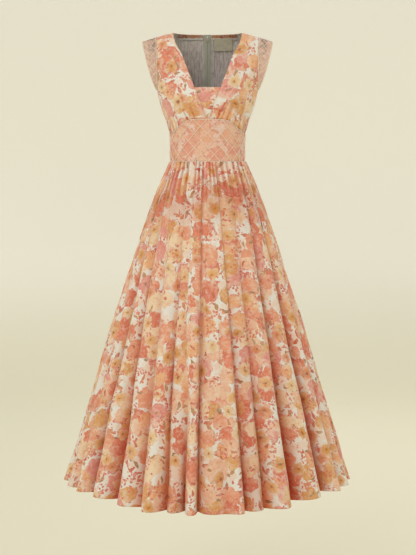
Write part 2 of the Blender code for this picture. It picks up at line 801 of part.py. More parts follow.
def skirt_panels(material):
    """One front and two backs, seamed on the crests at the sides and at the zip."""
    rings = np.array([skirt_ring(drop, FLUTE_STEPS) for drop in SKIRT_DROPS])
    inner_rings = rings - ring_normals(rings) * CLOTH
    middle = FLUTE_STEPS.index(0.5)
    columns = rings.shape[1]
    right, left = (fold * len(FLUTE_STEPS) + middle for fold in SIDE_SEAM_FOLDS)
    back = BACK_SEAM_FOLD * len(FLUTE_STEPS) + middle
    for label, start, end in (
        ("front", left - columns, right),
        ("back_right", right, back),
        ("back_left", back, left),
    ):
        picked = np.arange(start, end + 1) % columns
        outer, inner = rings[:, picked].copy(), inner_rings[:, picked].copy()
        for column, inward in ((0, 1), (-1, -1)):
            seam = picked[column]
            for grid in (outer, inner):
                if seam == back:
                    grid[:, column, 0] = -inward * zip_edge(SKIRT_DROPS)
                else:
                    grid[:, column, 1] += inward * SEAM_GAP / 2 * (1 if seam == right else -1)
        wall(f"skirt_{label}", outer, inner, material)


def zip_edge(drops):
    """Distance of the skirt's centre back edges from the centre: wider along the zip."""
    return np.where(np.array(drops) < ZIP_DROP, ZIP_HALF_GAP, SEAM_GAP / 2)


def centre_back_depth(height):
    """Depth of the cloth's outer side along the centre back."""
    skirt = soft_table(FLARE, np.maximum(WAIST - height, 0))[..., 2]
    return np.where(height < WAIST, skirt, form_at(np.maximum(height, WAIST))[2])


def zip_tapes(material):
    """Woven tapes behind both edges of the zip."""
    bodice = back_grid(np.array([0.0]), np.array(BACK_ROWS[1:]))[1][:, 0]
    midriff = between(WAIST, midriff_top(180), np.linspace(0, 1, MIDRIFF_ROWS + 1))
    skirt = WAIST - np.array([drop for drop in SKIRT_DROPS if 0 < drop < ZIP_DROP])
    heights = np.array(sorted([*bodice, *midriff, *skirt], reverse=True))
    depth = centre_back_depth(heights)
    slope = np.gradient(depth, heights)
    tilt = 1 / np.hypot(slope, 1)
    x = np.array([ZIP_HALF_GAP, ZIP_HALF_GAP + TAPE_WIDTH])
    lift = CLOTH + TAPE_LIFT + TAPE_SINK * ramp(*TAPE_SINK_SPAN, heights)
    outer = np.empty((len(heights), 2, 3))
    inner = np.empty_like(outer)
    for grid, thick in ((outer, 0), (inner, TAPE)):
        grid[..., 0] = x
        grid[..., 1] = (depth - (lift + thick) / tilt)[:, None]
        grid[..., 2] = heights[:, None]
    for side, label in ((1, "right"), (-1, "left")):
        wall(f"zip_tape_{label}", mirrored(outer, side), mirrored(inner, side), material)


def slider_axes():
    """Point on the cloth at the slider, the way down the cloth and the way out of it."""
    depth = form_at(SLIDER_Z)[2]
    run = form_at(SLIDER_Z - TAB_LENGTH)[2] - depth
    down = np.array([0, run, -TAB_LENGTH])
    down /= np.linalg.norm(down)
    out = np.array([0, -down[2], down[1]])
    return np.array([0, depth, SLIDER_Z]), down, out


def slider_block(low, high, axes):
    """Corners and faces of a block given in slider axes: across, down, out."""
    origin, down, out = axes
    across = np.array([1, 0, 0])
    corners = [
        origin + across * x + down * d + out * o
        for x in (low[0], high[0])
        for d in (low[1], high[1])
        for o in (low[2], high[2])
    ]
    faces = [(0, 1, 3, 2), (4, 6, 7, 5), (0, 4, 5, 1), (2, 3, 7, 6), (0, 2, 6, 4), (1, 5, 7, 3)]
    return corners, faces


def zip_slider(material):
    """Slider inside the tapes, with a bridge that stands out between the edges."""
    axes = slider_axes()
    origin, down, out = axes
    body_front = -(CLOTH + TAPE_LIFT + TAPE + SEAM_GAP)
    half_width = SLIDER_BODY[0] / 2
    low = (-half_width, -SLIDER_HALF, body_front - SLIDER_BODY[1])
    high = (half_width, SLIDER_HALF, body_front)
    corners, faces = slider_block(low, high, axes)
    slider = add_mesh("zip_slider", np.array(corners), faces, material, smooth=False)

    crown = HINGE_LIFT + HINGE_ROOM + BRIDGE_BAR
    foot = body_front - SLIDER_BODY[1] / 2
    outline = [
        (-BRIDGE_HALF, foot),
        (BRIDGE_HALF, foot),
        (BRIDGE_HALF, crown - BRIDGE_CORNER),
        (BRIDGE_HALF - BRIDGE_CORNER, crown),
        (BRIDGE_CORNER - BRIDGE_HALF, crown),
        (-BRIDGE_HALF, crown - BRIDGE_CORNER),
    ]
    room = BRIDGE_HALF - BRIDGE_BAR
    window = [
        (-room, HINGE_LIFT - HINGE_ROOM),
        (-room, HINGE_LIFT + HINGE_ROOM),
        (room, HINGE_LIFT + HINGE_ROOM),
        (room, HINGE_LIFT - HINGE_ROOM),
    ]

    def place(flat, side):
        x = BRIDGE_THICK / 2 - BRIDGE_THICK * side
        return origin + down * flat[:, :1] + out * flat[:, 1:] + np.array([x, 0, 0])

    bridge = punched_sheet("slider_bridge_guide", outline, [window], place, material, smooth=False)
    bridge.hide_render = True
    bridge.display_type = "WIRE"
    join = slider.modifiers.new("bridge", "BOOLEAN")
    join.operation = "UNION"
    join.solver = "EXACT"
    join.object = bridge


def zip_pull_tab(material):
    """Flat pull tab lying on the back, its top bar passed under the slider's bridge."""
    origin, down, out = slider_axes()
    hinge = origin + out * HINGE_LIFT
    half = TAB_WIDTH / 2
    top = TAB_THICK / 2
    outline = [
        (-half, -top),
        (half, -top),
        (half, TAB_LENGTH - TAB_CORNER),
        (half - TAB_CORNER, TAB_LENGTH),
        (TAB_CORNER - half, TAB_LENGTH),
        (-half, TAB_LENGTH - TAB_CORNER),
    ]
    room = TAB_WINDOW[0] / 2
    window = [(-room, top), (-room, TAB_WINDOW[1]), (room, TAB_WINDOW[1]), (room, top)]

    def place(flat, side):
        across = np.array([1, 0, 0])
        lift = TAB_THICK * (0.5 - side)
        return across * flat[:, :1] + down * flat[:, 1:] + out * lift

    tab = punched_sheet("zip_pull_tab", outline, [window], place, material, smooth=False)
    tab.location = hinge * MM


def clear_scene():
    for thing in list(bpy.data.objects):
        bpy.data.objects.remove(thing, do_unlink=True)


def build():
    clear_scene()
    print_cloth = principled("printed_cloth")
    yoke_cloth = principled("yoke_cloth")
    lace = principled("lattice_lace")
    tape = principled("zip_tape")
    label = principled("label")
    metal = principled("zip_metal")
    bodice_fronts(print_cloth)
    bodice_backs(print_cloth)
    neck_inset(print_cloth)
    back_facings(print_cloth)
    midriff_panels(yoke_cloth)
    midriff_laces(lace)
    armhole_trims(lace)
    skirt_panels(print_cloth)
    zip_tapes(tape)
    neck_label(label)
    zip_slider(metal)
    zip_pull_tab(metal)


build()
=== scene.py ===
"""The looks of the maxi dress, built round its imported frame.

Sizes are in millimetres and heights are measured from the neck points. A turn is an
angle round the body in degrees: 0 at the centre front, 90 at the viewer's right side
and 180 at the centre back. Cloth is mapped in metres on its flat cut.
"""

import functools
import math

import bpy
import numpy as np
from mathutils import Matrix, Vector

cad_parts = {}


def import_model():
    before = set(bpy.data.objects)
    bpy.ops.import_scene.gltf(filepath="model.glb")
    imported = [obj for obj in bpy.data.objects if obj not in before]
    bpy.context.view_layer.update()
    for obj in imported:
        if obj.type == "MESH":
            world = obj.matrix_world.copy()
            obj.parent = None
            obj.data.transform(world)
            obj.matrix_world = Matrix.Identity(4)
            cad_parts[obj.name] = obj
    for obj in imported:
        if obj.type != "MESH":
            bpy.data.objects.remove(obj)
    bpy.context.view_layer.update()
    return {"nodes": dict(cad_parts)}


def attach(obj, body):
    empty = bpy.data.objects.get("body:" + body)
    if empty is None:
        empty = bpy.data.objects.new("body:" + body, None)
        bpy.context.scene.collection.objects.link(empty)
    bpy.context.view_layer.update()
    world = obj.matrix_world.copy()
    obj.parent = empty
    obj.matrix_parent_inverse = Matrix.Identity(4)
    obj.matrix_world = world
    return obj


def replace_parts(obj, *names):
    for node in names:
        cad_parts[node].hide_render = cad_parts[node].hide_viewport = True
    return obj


MM = 0.001
SIDES = ((1, "right"), (-1, "left"))
PANELS = (
    # name, first turn, last turn
    ("front", -90, 90),
    ("back_right", 90, 180),
    ("back_left", 180, 270),
)

# Cloth, seams and edges
SHELL = 1.0
SEAM_GAP = 0.3
SHOULDER_POINT = -14
UNDERARM = -185
INSET_TOP = -176
V_FOOT = -273
WAIST = -404
HEM = -1421
NECK_POINT = 107
STRAP_OUTER = 160
V_FOOT_HALF = 3.5
INSET_TUCK = 6
ZIP_HALF_GAP = 0.8
ZIP_MEETING = 0.3
ZIP_OPENS = (-36, -25)
ZIP_DROP = 160
CAD_CLOTH = 1.8
SEAM_TUCK = 5
HEM_TURN = 13

# Outline of the dress without its folds
FORM = (
    # height, half width, front depth, back depth
    (WAIST, 117, 92, 84),
    (-380, 118, 93, 85),
    (-350, 118, 97, 88),
    (-317, 119, 102, 92),
    (-300, 124, 106, 95),
    (-274, 131, 111, 99),
    (-250, 141, 116, 103),
    (-212, 152, 118, 107),
    (UNDERARM, 158, 117, 109),
    (-160, 164, 112, 108),
    (-120, 176, 100, 102),
    (-80, 190, 85, 93),
    (-40, 200, 65, 80.5),
    (-26, 204, 58, 75),
    (SHOULDER_POINT, STRAP_OUTER, 53, 70),
    (0, NECK_POINT, 48, 64.5),
)
FLARE = (
    # drop below the waist, half width, front depth, back depth
    (0, 117, 92, 84),
    (30, 131, 104, 97),
    (65, 149, 121, 114),
    (100, 165, 138, 131),
    (130, 177, 152, 145),
    (WAIST - HEM, 459, 420, 420),
)
FOLDS = (
    # turn at waist, turn at hem, drop it starts at, depth at hem, set-back of the next crest
    (-84, -80, 0, 50, 0),
    (-77, -68, 300, 26, 0),
    (-69, -55.5, 0, 60, 0),
    (-58, -41, 0, 58, 4),
    (-45, -28.5, 110, 42, 0),
    (-29, -18.5, 0, 46, 18),
    (-17, -10, 560, 50, 0),
    (-6, -2.8, 0, 44, 12),
    (3, 7.8, 560, 22, 6),
    (12, 16.7, 0, 44, 24),
    (30, 25.5, 40, 48, 0),
    (52, 37.5, 0, 70, 2),
    (67, 57, 0, 76, 0),
    (76, 69.5, 280, 26, 0),
    (84, 82, 0, 55, 0),
    (96, 96, 0, 50, 0),
    (109, 110, 130, 58, 0),
    (122, 123.5, 0, 46, 6),
    (135, 138, 0, 64, 0),
    (149, 151, 240, 44, 4),
    (163, 165, 0, 56, 0),
    (197, 194, 0, 58, 0),
    (210, 208, 180, 48, 5),
    (224, 221.5, 0, 62, 0),
    (238, 235.5, 0, 50, 0),
    (251, 250, 320, 42, 4),
    (264, 265, 0, 56, 0),
)
SIDE_SEAM_FOLDS = (14, 26)
BACK_SEAM_FOLD = 20
HEM_SLIMNESS = 0.2
SLIM_TURNS = (20, 55)
FOLD_GROWTH = 0.9
FLUTE_ROUNDNESS = 0.6
FLUTE_LEAN = 0.35
LEAN_CENTRE = 7
LEAN_SHARPNESS = 8
FOLD_WANDER = 0.7
WANDER_WAVES = 1.3
WANDER_SHIFT = 0.37
GATHER_DEPTH = 4.2
GATHER_SHARE = 0.27
GATHER_CHANGE = (0.22, 2.4)
GATHER_FADE = (22, 150)
PLACKET_TURN = 14
VALLEY_SOFTNESS = 0.1
# Painted shade in the flute valleys and in the hollows between the waist gathers
FLUTE_SHADE_DEPTH = 42
FLUTE_SHADE_POWER = 1.6
GATHER_SHADE = 0.55
GATHER_SHADE_FADE = (70, 260)
FLUTE_COLUMNS = 20
SKIRT_ROWS = 116

# Rows of the narrow turned hem, from its upper edge down, and the dip its stitches pull
HEM_ROWS = np.array([-4, -2, -1, 0, 1, 2, 4, 8, HEM_TURN], dtype=float)
HEM_DIP = -0.7
HEM_DIP_SPREAD = 1.2

# Small gathers below the waist seam
PLEAT_STEP = 3.1
PLEAT_DEPTH = (1.0, 3.0)
PLEAT_WIDTH = (0.7, 1.15)
PLEAT_LENGTH = (35, 170)
PLEAT_SLANT = 0.012
PLEAT_SPREAD = 260
PLEAT_GAP = (1.9, 3.6)
SLOW_WAVES = (
    # waves round the hem, half turns of their bend in a metre of drop, size
    (41, 5.0, 1.0),
    (67, 8.0, 0.7),
    (23, 3.1, 1.4),
)
SLOW_WAVE_FADE = (60, 420)

# The flat cut of the skirt: a sector of a ring, fuller than the waist by the gathers
WAIST_FULLNESS = 1.5

MIDRIFF_TOP = (
    # turn, height
    (0, -274),
    (20, -274),
    (30, -278),
    (40, -291),
    (50, -301.5),
    (60, -310),
    (70, -316),
    (80, -318.5),
    (90, -319),
    (180, -319),
)
ARMHOLE = (
    # height, half width
    (UNDERARM, 158),
    (-177, 156.8),
    (-160, 156.2),
    (-60, 156.4),
    (-26, 157.6),
    (SHOULDER_POINT, STRAP_OUTER),
    (0, STRAP_OUTER),
)
STRAP_BLEND = (-80, -34)
CUP_RISE = 9
CUP_CENTRE = (78, -208)
CUP_SPREAD = (46, 52)
CUP_FADE = 0.35
ROW_CROWDING = 1.15

# Gathers under the bust, placed as the photo shows them
BUST_GATHERS = (
    # turn at the seam, depth, half width in degrees, length
    (11, 1.6, 1.4, 34),
    (15.5, 2.6, 1.6, 58),
    (20, 2.0, 1.3, 44),
    (24.5, 3.0, 1.8, 76),
    (29.5, 2.2, 1.4, 50),
    (34, 3.0, 1.7, 84),
    (39, 2.0, 1.4, 46),
    (44, 2.6, 1.8, 66),
    (50, 1.8, 1.5, 40),
    (56, 2.4, 2.0, 60),
    (63, 1.6, 1.8, 42),
)
INSET_SINK = 1.5
FACING_SHOWS = (4, 14)
FACING_SHARE = (2 / 24, 14 / 24)
FACING_FOOT = 0.925
FACING_THICK = 0.6

# Where the flat cuts lie on the printed cloth
FRONT_CUT = (400.0, 2000.0)
BACK_CUT = (500.0, 2600.0)
INSET_CUT = (900.0, 2500.0)
FACING_CUT = (200.0, 3100.0)

# Shirring of the back
SHIRR_SHARE = (0.085, 0.915)
SHIRR_RIDGES = 10
SHIRR_FINE_RIDGES = 27
SHIRR_DEPTH = (2.0, 0.9)
SHIRR_ROW = 11
SHIRR_BAND = (-56, -44)
BACK_FULLNESS = 1.3


def soft_table(rows, at):
    """Read a table of (key, value, ...) rows along a smooth line that never overshoots."""
    rows = np.array(sorted(rows), dtype=float)
    keys, values = rows[:, 0], rows[:, 1:]
    at = np.clip(np.asarray(at, dtype=float), keys[0], keys[-1])
    gaps = np.diff(keys)[:, None]
    slopes = np.diff(values, axis=0) / gaps
    product = slopes[:-1] * slopes[1:]
    total = np.where(product > 0, slopes[:-1] + slopes[1:], 1)
    inner = np.where(product > 0, 2 * product / total, 0)
    tangents = np.vstack([slopes[:1], inner, slopes[-1:]])
    i = np.clip(np.searchsorted(keys, at, side="right") - 1, 0, len(keys) - 2)
    gap = gaps[i]
    t = (at - keys[i])[..., None] / gap
    start = (1 + 2 * t) * (1 - t) ** 2 * values[i] + t * (1 - t) ** 2 * gap * tangents[i]
    end = t * t * (3 - 2 * t) * values[i + 1] + t * t * (t - 1) * gap * tangents[i + 1]
    return start + end


def ramp(low, high, at):
    """Rise smoothly from 0 at low to 1 at high."""
    t = np.clip((np.asarray(at, dtype=float) - low) / (high - low), 0, 1)
    return t * t * (3 - 2 * t)


def between(low, high, share):
    return low + (high - low) * share


def unit(vectors):
    return vectors / np.maximum(np.linalg.norm(vectors, axis=-1, keepdims=True), 1e-9)


def form_at(height):
    """Half width, front depth and back depth of the form at each height."""
    height = np.asarray(height, dtype=float)
    soft = soft_table(FORM[:-1], height)
    shoulder, neck = FORM[-2:]
    ends = (shoulder[0], neck[0])
    slope = [np.interp(height, ends, (shoulder[k], neck[k])) for k in (1, 2, 3)]
    above = (height > SHOULDER_POINT)[..., None]
    sizes = np.where(above, np.stack(slope, axis=-1), soft)
    return sizes[..., 0], sizes[..., 1], sizes[..., 2]


def form_point(turn, height):
    """Point of the bare form at a turn and a height."""
    turn, height = np.broadcast_arrays(np.radians(turn), np.asarray(height, dtype=float))
    width, front, back = form_at(height)
    depth = np.where(np.cos(turn) > 0, front, back)
    x = width * np.sin(turn)
    y = -depth * np.cos(turn)
    across = (np.abs(x) - CUP_CENTRE[0]) / CUP_SPREAD[0]
    along = (height - CUP_CENTRE[1]) / CUP_SPREAD[1]
    cup = CUP_RISE * np.exp(-across ** 2 - along ** 2) * ramp(0, CUP_FADE, np.cos(turn))
    return np.stack([x, y - cup, height], axis=-1)


def form_normal(turn, height):
    """Outward direction of the form's surface."""
    nudge = 0.05
    turn, height = np.broadcast_arrays(np.asarray(turn, float), np.asarray(height, float))
    height = np.minimum(height, -2 * nudge)
    round_it = form_point(turn + nudge, height) - form_point(turn - nudge, height)
    up_it = form_point(turn, height + nudge) - form_point(turn, height - nudge)
    return unit(np.cross(round_it, up_it))


def over_form(turn, height, lift):
    """Points a lift over the form's surface, or under it where the lift is below 0."""
    return form_point(turn, height) + form_normal(turn, height) * np.asarray(lift)[..., None]


def turn_of(x, height, behind=False):
    """Turn at which the form reaches x at a height."""
    turn = np.degrees(np.arcsin(np.clip(x / form_at(height)[0], -1, 1)))
    return 180 - turn if behind else turn


def mirrored(points, side):
    return points * np.array([side, 1, 1])


def smooth_noise(at, seed):
    """Slow uneven wave between -1 and 1 along a line."""
    rng = np.random.default_rng(seed)
    pace = rng.uniform(0.6, 2.3, 5)
    start = rng.uniform(0, 2 * math.pi, 5)
    at = np.asarray(at, dtype=float)[..., None]
    return np.sum(np.sin(at * pace + start), axis=-1) / 3


# ---------------------------------------------------------------- meshes


def new_object(name, points, faces, materials):
    """A smooth mesh object from points in millimetres."""
    mesh = bpy.data.meshes.new(name)
    mesh.from_pydata((points * MM).tolist(), [], faces)
    for material in materials:
        mesh.materials.append(material)
    mesh.shade_smooth()
    thing = bpy.data.objects.new(name, mesh)
    bpy.context.scene.collection.objects.link(thing)
    return thing


def shell(
    name, grid, flat, materials, slot="printed_cloth", thick=SHELL, hold="stretched", shade=None
):
    """A shell of cloth on a grid of outer points, mapped by its flat cut.

    The first material is the right side and the second the reverse. Shade says how deep
    in a fold each point is, from 0 to 1.
    """
    rows, columns = grid.shape[:2]
    middle = grid[rows // 2, columns // 2]
    row_way = grid[rows // 2, columns // 2 + 1] - middle
    up_way = grid[rows // 2 + 1, columns // 2] - middle
    outward = np.dot(np.cross(row_way, up_way), middle * np.array([1, 1, 0])) > 0
    start = (np.arange(rows - 1)[:, None] * columns + np.arange(columns - 1)).ravel()
    faces = np.stack([start, start + 1, start + columns + 1, start + columns], axis=1)
    faces = faces if outward else faces[:, ::-1]
    piece = new_object(name, grid.reshape(-1, 3), faces.tolist(), materials)
    layer = piece.data.uv_layers.new(name="cut")
    corners = np.empty(len(piece.data.loops), dtype=np.int64)
    piece.data.loops.foreach_get("vertex_index", corners)
    uv = flat.reshape(-1, 2)[corners] * MM
    layer.data.foreach_set("uv", uv.astype(np.float32).ravel())
    if shade is not None:
        layer = piece.data.attributes.new("shade", "FLOAT", "POINT")
        layer.data.foreach_set("value", np.clip(shade, 0, 1).astype(np.float32).ravel())
    wall = piece.modifiers.new("wall", "SOLIDIFY")
    wall.thickness = thick * MM
    wall.offset = -1
    wall.material_offset = 1
    wall.material_offset_rim = 0
    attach(piece, "root")
    size, area = cut_of(flat)
    return piece


def cloth(node, grid, flat, materials, **looks):
    """The shell of cloth that stands for a node."""
    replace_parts(shell(f"{node}_cloth", grid, flat, materials, **looks), node)


def placed_cut(flat, side, place, flip=1):
    """Lay a flat cut at its place on the printed cloth, mirrored for the other side."""
    return flat * np.array([side * flip, 1]) + np.array([side * place[0], place[1]])


def cut_of(flat):
    """Width, length and area of a flat cut, in metres and square metres."""
    size = (flat.reshape(-1, 2).max(axis=0) - flat.reshape(-1, 2).min(axis=0)) * MM
    a, b = flat[:-1, :-1], flat[:-1, 1:]
    c, d = flat[1:, 1:], flat[1:, :-1]
    diagonal, other = c - a, d - b
    area = np.abs(diagonal[..., 0] * other[..., 1] - diagonal[..., 1] * other[..., 0]).sum() / 2
    return (float(size[0]), float(size[1])), float(min(area * MM * MM, size[0] * size[1]))


def run_length(points, axis):
    """Distance along one way of a grid of points, starting from 0."""
    step = np.linalg.norm(np.diff(points, axis=axis), axis=-1)
    start = np.zeros_like(np.take(step, [0], axis=axis))
    return np.concatenate([start, np.cumsum(step, axis=axis)], axis=axis)


def surface_normals(grid):
    """Outward directions of a grid of points whose first way runs up and second way round."""
    along = np.gradient(grid, axis=1)
    up = np.gradient(grid, axis=0)
    normal = unit(np.cross(along, up))
    outward = np.sign(np.sum(normal * grid * np.array([1, 1, 0]), axis=-1).mean())
    return normal * outward


def along_line(values, run, at):
    """Points or directions of a line, read at distances along it."""
    return np.stack([np.interp(at, run, values[:, k]) for k in range(3)], axis=-1)


def tube_faces(index):
    """Faces of tubes from their rings of point numbers: the sides, then both ends."""
    turned = np.roll(index, -1, axis=-1)
    near, far = (..., slice(None, -1), slice(None)), (..., slice(1, None), slice(None))
    sides = np.stack([index[near], turned[near], turned[far], index[far]], axis=-1)
    count = index.shape[-1]
    ends = [index[..., 0, ::-1].reshape(-1, count), index[..., -1, :].reshape(-1, count)]
    return sides.reshape(-1, 4).tolist() + np.concatenate(ends).tolist()


def joined(name, parts, material, replaced=None):
    """One piece of many loose parts, each a list of points and its faces, on the dress."""
    points, faces, count = [], [], 0
    for part_points, part_faces in parts:
        points.append(part_points)
        faces += [[index + count for index in face] for face in part_faces]
        count += len(part_points)
    piece = new_object(name, np.concatenate(points), faces, [material])
    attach(piece, "root")
    if replaced:
        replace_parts(piece, replaced)


STITCH_EVERY = 3.6
STITCH_LONG = 2.5
STITCH_HALF = 0.3
STITCH_SIDES = 6
# place along a stitch, height over the cloth and thickness, as shares
STITCH_RINGS = np.array([(0, -1.0, 0.55), (0.22, 0.45, 1), (0.78, 0.45, 1), (1, -1.0, 0.55)]).T


def stitches(name, rows, thread):
    """Short stitches along lines of points, each line given with its outward directions."""
    parts = []
    angle = 2 * np.pi * np.arange(STITCH_SIDES) / STITCH_SIDES
    along_stitch, height, thickness = STITCH_RINGS
    for line, normals in rows:
        run = run_length(line, 0)
        starts = np.arange(STITCH_EVERY / 2, run[-1] - STITCH_EVERY, STITCH_EVERY)
        spots = starts[:, None] + STITCH_LONG * along_stitch
        middle, out = along_line(line, run, spots), unit(along_line(normals, run, spots))
        ahead = unit(middle[:, -1:] - middle[:, :1])
        across = np.cross(ahead, out)
        middle = middle + out * (STITCH_HALF * height)[:, None]
        ring = across[:, :, None] * np.cos(angle)[:, None]
        ring = ring + out[:, :, None] * np.sin(angle)[:, None]
        tubes = middle[:, :, None] + ring * STITCH_HALF * thickness[:, None, None]
        index = np.arange(tubes[..., 0].size).reshape(tubes.shape[:-1])
        parts.append((tubes.reshape(-1, 3), tube_faces(index)))
    joined(name, parts, thread)


def strand(points, normals, half_width, height, twist=3.2, sides=8, relief=0.16):
    """A braid laid along points: a flat tube whose width beats with the plait."""
    ahead = unit(np.gradient(points, axis=0))
    across = unit(np.cross(ahead, normals))
    up = np.cross(across, ahead)
    along = run_length(points, 0)
    beat = 1 + relief * np.sin(2 * np.pi * along / twist)
    sway = relief * 0.5 * np.sin(2 * np.pi * along / twist + 1.2)
    angle = 2 * np.pi * np.arange(sides) / sides
    side = half_width * (np.cos(angle)[None] * beat[:, None] + sway[:, None])
    lift = height / 2 * (np.sin(angle)[None] * beat[:, None])
    ring = points[:, None] + across[:, None] * side[..., None] + up[:, None] * lift[..., None]
    index = np.arange(len(points) * sides).reshape(-1, sides)
    return ring.reshape(-1, 3), tube_faces(index)


def braids(runs, place, lift, size, step=0.0, twist=3.2):
    """Strands along runs of plane points, every second one a step over the others.

    The function place says where plane points lie at a lift, and which way is outward.
    """
    return [
        strand(*place(run, lift + step * (number % 2)), *size, twist=twist)
        for number, run in enumerate(runs)
    ]


def grid_line(grid, row=None, column=None):
    """One row or column of a grid of points, with its outward directions."""
    normals = surface_normals(grid)
    if column is None:
        return grid[row], normals[row]
    return grid[:, column], normals[:, column]


# ---------------------------------------------------------------- materials


def paint(red, green, blue):
    """Linear colour of an sRGB colour given from 0 to 255."""
    share = [value / 255 for value in (red, green, blue)]
    linear = [v / 12.92 if v <= 0.04045 else ((v + 0.055) / 1.055) ** 2.4 for v in share]
    return (*linear, 1.0)


class Wire:
    """One output socket. Its graph's methods work on it, as in wire.rise(0, 1)."""

    def __init__(self, graph, socket):
        self.graph, self.socket = graph, socket

    def __getattr__(self, name):
        return functools.partial(getattr(self.graph, name), self)


def sum_node(operation, swapped=False):
    """Method of a wire that adds a Math node, its values swapped for a number on the left."""

    def work(wire, other):
        pair = (other, wire) if swapped else (wire, other)
        return wire.graph.math(operation, *pair)

    return work


for sign, kind in (("add", "ADD"), ("sub", "SUBTRACT"), ("mul", "MULTIPLY")):
    setattr(Wire, f"__{sign}__", sum_node(kind))
    setattr(Wire, f"__r{sign}__", sum_node(kind, swapped=True))
Wire.__truediv__ = sum_node("DIVIDE")
Wire.__gt__ = sum_node("GREATER_THAN")
Wire.__lt__ = sum_node("LESS_THAN")


class Graph:
    """A material's node tree, built by short calls."""

    def __init__(self, name):
        self.material = bpy.data.materials.new(name)
        self.material.use_nodes = True
        self.tree = self.material.node_tree
        self.shader = self.tree.nodes["Principled BSDF"]

    def feed(self, socket, value):
        if isinstance(value, Wire):
            self.tree.links.new(value.socket, socket)
        elif hasattr(socket.default_value, "__len__") and not hasattr(value, "__len__"):
            socket.default_value = [value] * len(socket.default_value)
        else:
            socket.default_value = value

    def node(self, kind, inputs, **settings):
        made = self.tree.nodes.new("ShaderNode" + kind)
        for key, value in settings.items():
            setattr(made, key, value)
        for key, value in inputs.items():
            self.feed(made.inputs[key], value)
        return made

    def math(self, operation, *values):
        made = self.node("Math", dict(enumerate(values)), operation=operation)
        return Wire(self, made.outputs[0])

    def vector(self, operation, *values, output=0):
        made = self.node("VectorMath", dict(enumerate(values)), operation=operation)
        return Wire(self, made.outputs[output])

    def mix(self, low, share, high, blend="MIX"):
        inputs = {0: share, 6: low, 7: high}
        made = self.node("Mix", inputs, data_type="RGBA", blend_type=blend)
        return Wire(self, made.outputs[2])

    def rise(self, value, low, high, out=(0.0, 1.0)):
        inputs = {0: value, 1: low, 2: high, 3: out[0], 4: out[1]}
        made = self.node("MapRange", inputs, interpolation_type="SMOOTHSTEP")
        return Wire(self, made.outputs[0])

    def length(self, vector):
        return self.vector("LENGTH", vector, output=1)

    def parts(self, vector):
        made = self.node("SeparateXYZ", {0: vector})
        return [Wire(self, output) for output in made.outputs]

    def join(self, x, y):
        return Wire(self, self.node("CombineXYZ", {0: x, 1: y}).outputs[0])

    def pick(self, value, table):
        """Colour of the table's row that a number between 0 and 1 falls in."""
        made = self.node("ValToRGB", {0: value})
        strip = made.color_ramp
        strip.interpolation = "CONSTANT"
        while len(strip.elements) < len(table):
            strip.elements.new(0.5)
        for element, (place, *color) in zip(strip.elements, table):
            element.position = place
            element.color = paint(*color)
        return Wire(self, made.outputs[0])

    def noise(self, place, size, detail=2.0, rough=0.5, plain=True):
        """Noise with features of a size in metres: a value, or a colour when not plain."""
        inputs = {"Vector": place, "Scale": 1 / size, "Detail": detail, "Roughness": rough}
        made = self.node("TexNoise", inputs, noise_dimensions="2D")
        return Wire(self, made.outputs[0 if plain else 1])

    def cells(self, place, size, jitter=0.8):
        """Offset from the nearest cell's centre in metres, and three random numbers of it."""
        inputs = {"Vector": place, "Scale": 1 / size, "Randomness": jitter}
        made = self.node("TexVoronoi", inputs, voronoi_dimensions="2D")
        offset = self.vector("SUBTRACT", place, Wire(self, made.outputs["Position"]))
        return offset, self.parts(Wire(self, made.outputs["Color"]))

    def shade(self):
        """How deep in a fold a place is, from the mesh."""
        made = self.node("Attribute", {}, attribute_name="shade")
        return Wire(self, made.outputs["Fac"])

    def flat_map(self):
        made = self.node("UVMap", {}, uv_map="cut")
        return Wire(self, made.outputs[0])

    def bump(self, height, distance, strength=0.5, after=None):
        inputs = {"Height": height, "Distance": distance, "Strength": strength}
        if after is not None:
            inputs["Normal"] = after
        return Wire(self, self.node("Bump", inputs).outputs[0])

    def finish(self, color, roughness=0.8, normal=None, sheen=0.0, metallic=0.0, alpha=None):
        shader = self.shader.inputs
        self.feed(shader["Base Color"], color)
        self.feed(shader["Roughness"], roughness)
        shader["Sheen Weight"].default_value = sheen
        shader["Sheen Roughness"].default_value = 0.5
        shader["Metallic"].default_value = metallic
        if normal is not None:
            self.feed(shader["Normal"], normal)
        if alpha is not None:
            self.feed(shader["Alpha"], alpha)
        return self.material


# Painted shade: share and colour multiplied into the print deep in folds and gathers
VALLEY_SHADE_PAINT = (1.0, paint(208, 122, 76))
GROUND = paint(236, 233, 229)
NET_STEP = 0.0042
BLOSSOM_COLORS = (
    # random number of the flower from here on, colour of its petals
    (0.0, 234, 162, 130),
    (0.16, 240, 196, 168),
    (0.3, 230, 138, 108),
    (0.4, 238, 180, 134),
    (0.53, 230, 158, 148),
    (0.65, 242, 214, 180),
    (0.78, 224, 168, 106),
    (0.88, 222, 128, 100),
)
OPEN_COLORS = (
    (0.0, 236, 186, 128),
    (0.3, 224, 164, 96),
    (0.55, 238, 204, 158),
    (0.78, 230, 158, 116),
)
HEART_COLORS = (
    (0.0, 176, 100, 46),
    (0.35, 190, 118, 52),
    (0.7, 160, 82, 52),
)
LEAF_COLORS = (
    (0.0, 190, 140, 88),
    (0.25, 168, 126, 84),
    (0.45, 204, 106, 74),
    (0.75, 214, 138, 96),
)
BERRY_COLORS = (
    (0.0, 220, 116, 88),
    (0.4, 206, 112, 84),
    (0.65, 230, 142, 112),
    (0.85, 222, 130, 124),
)


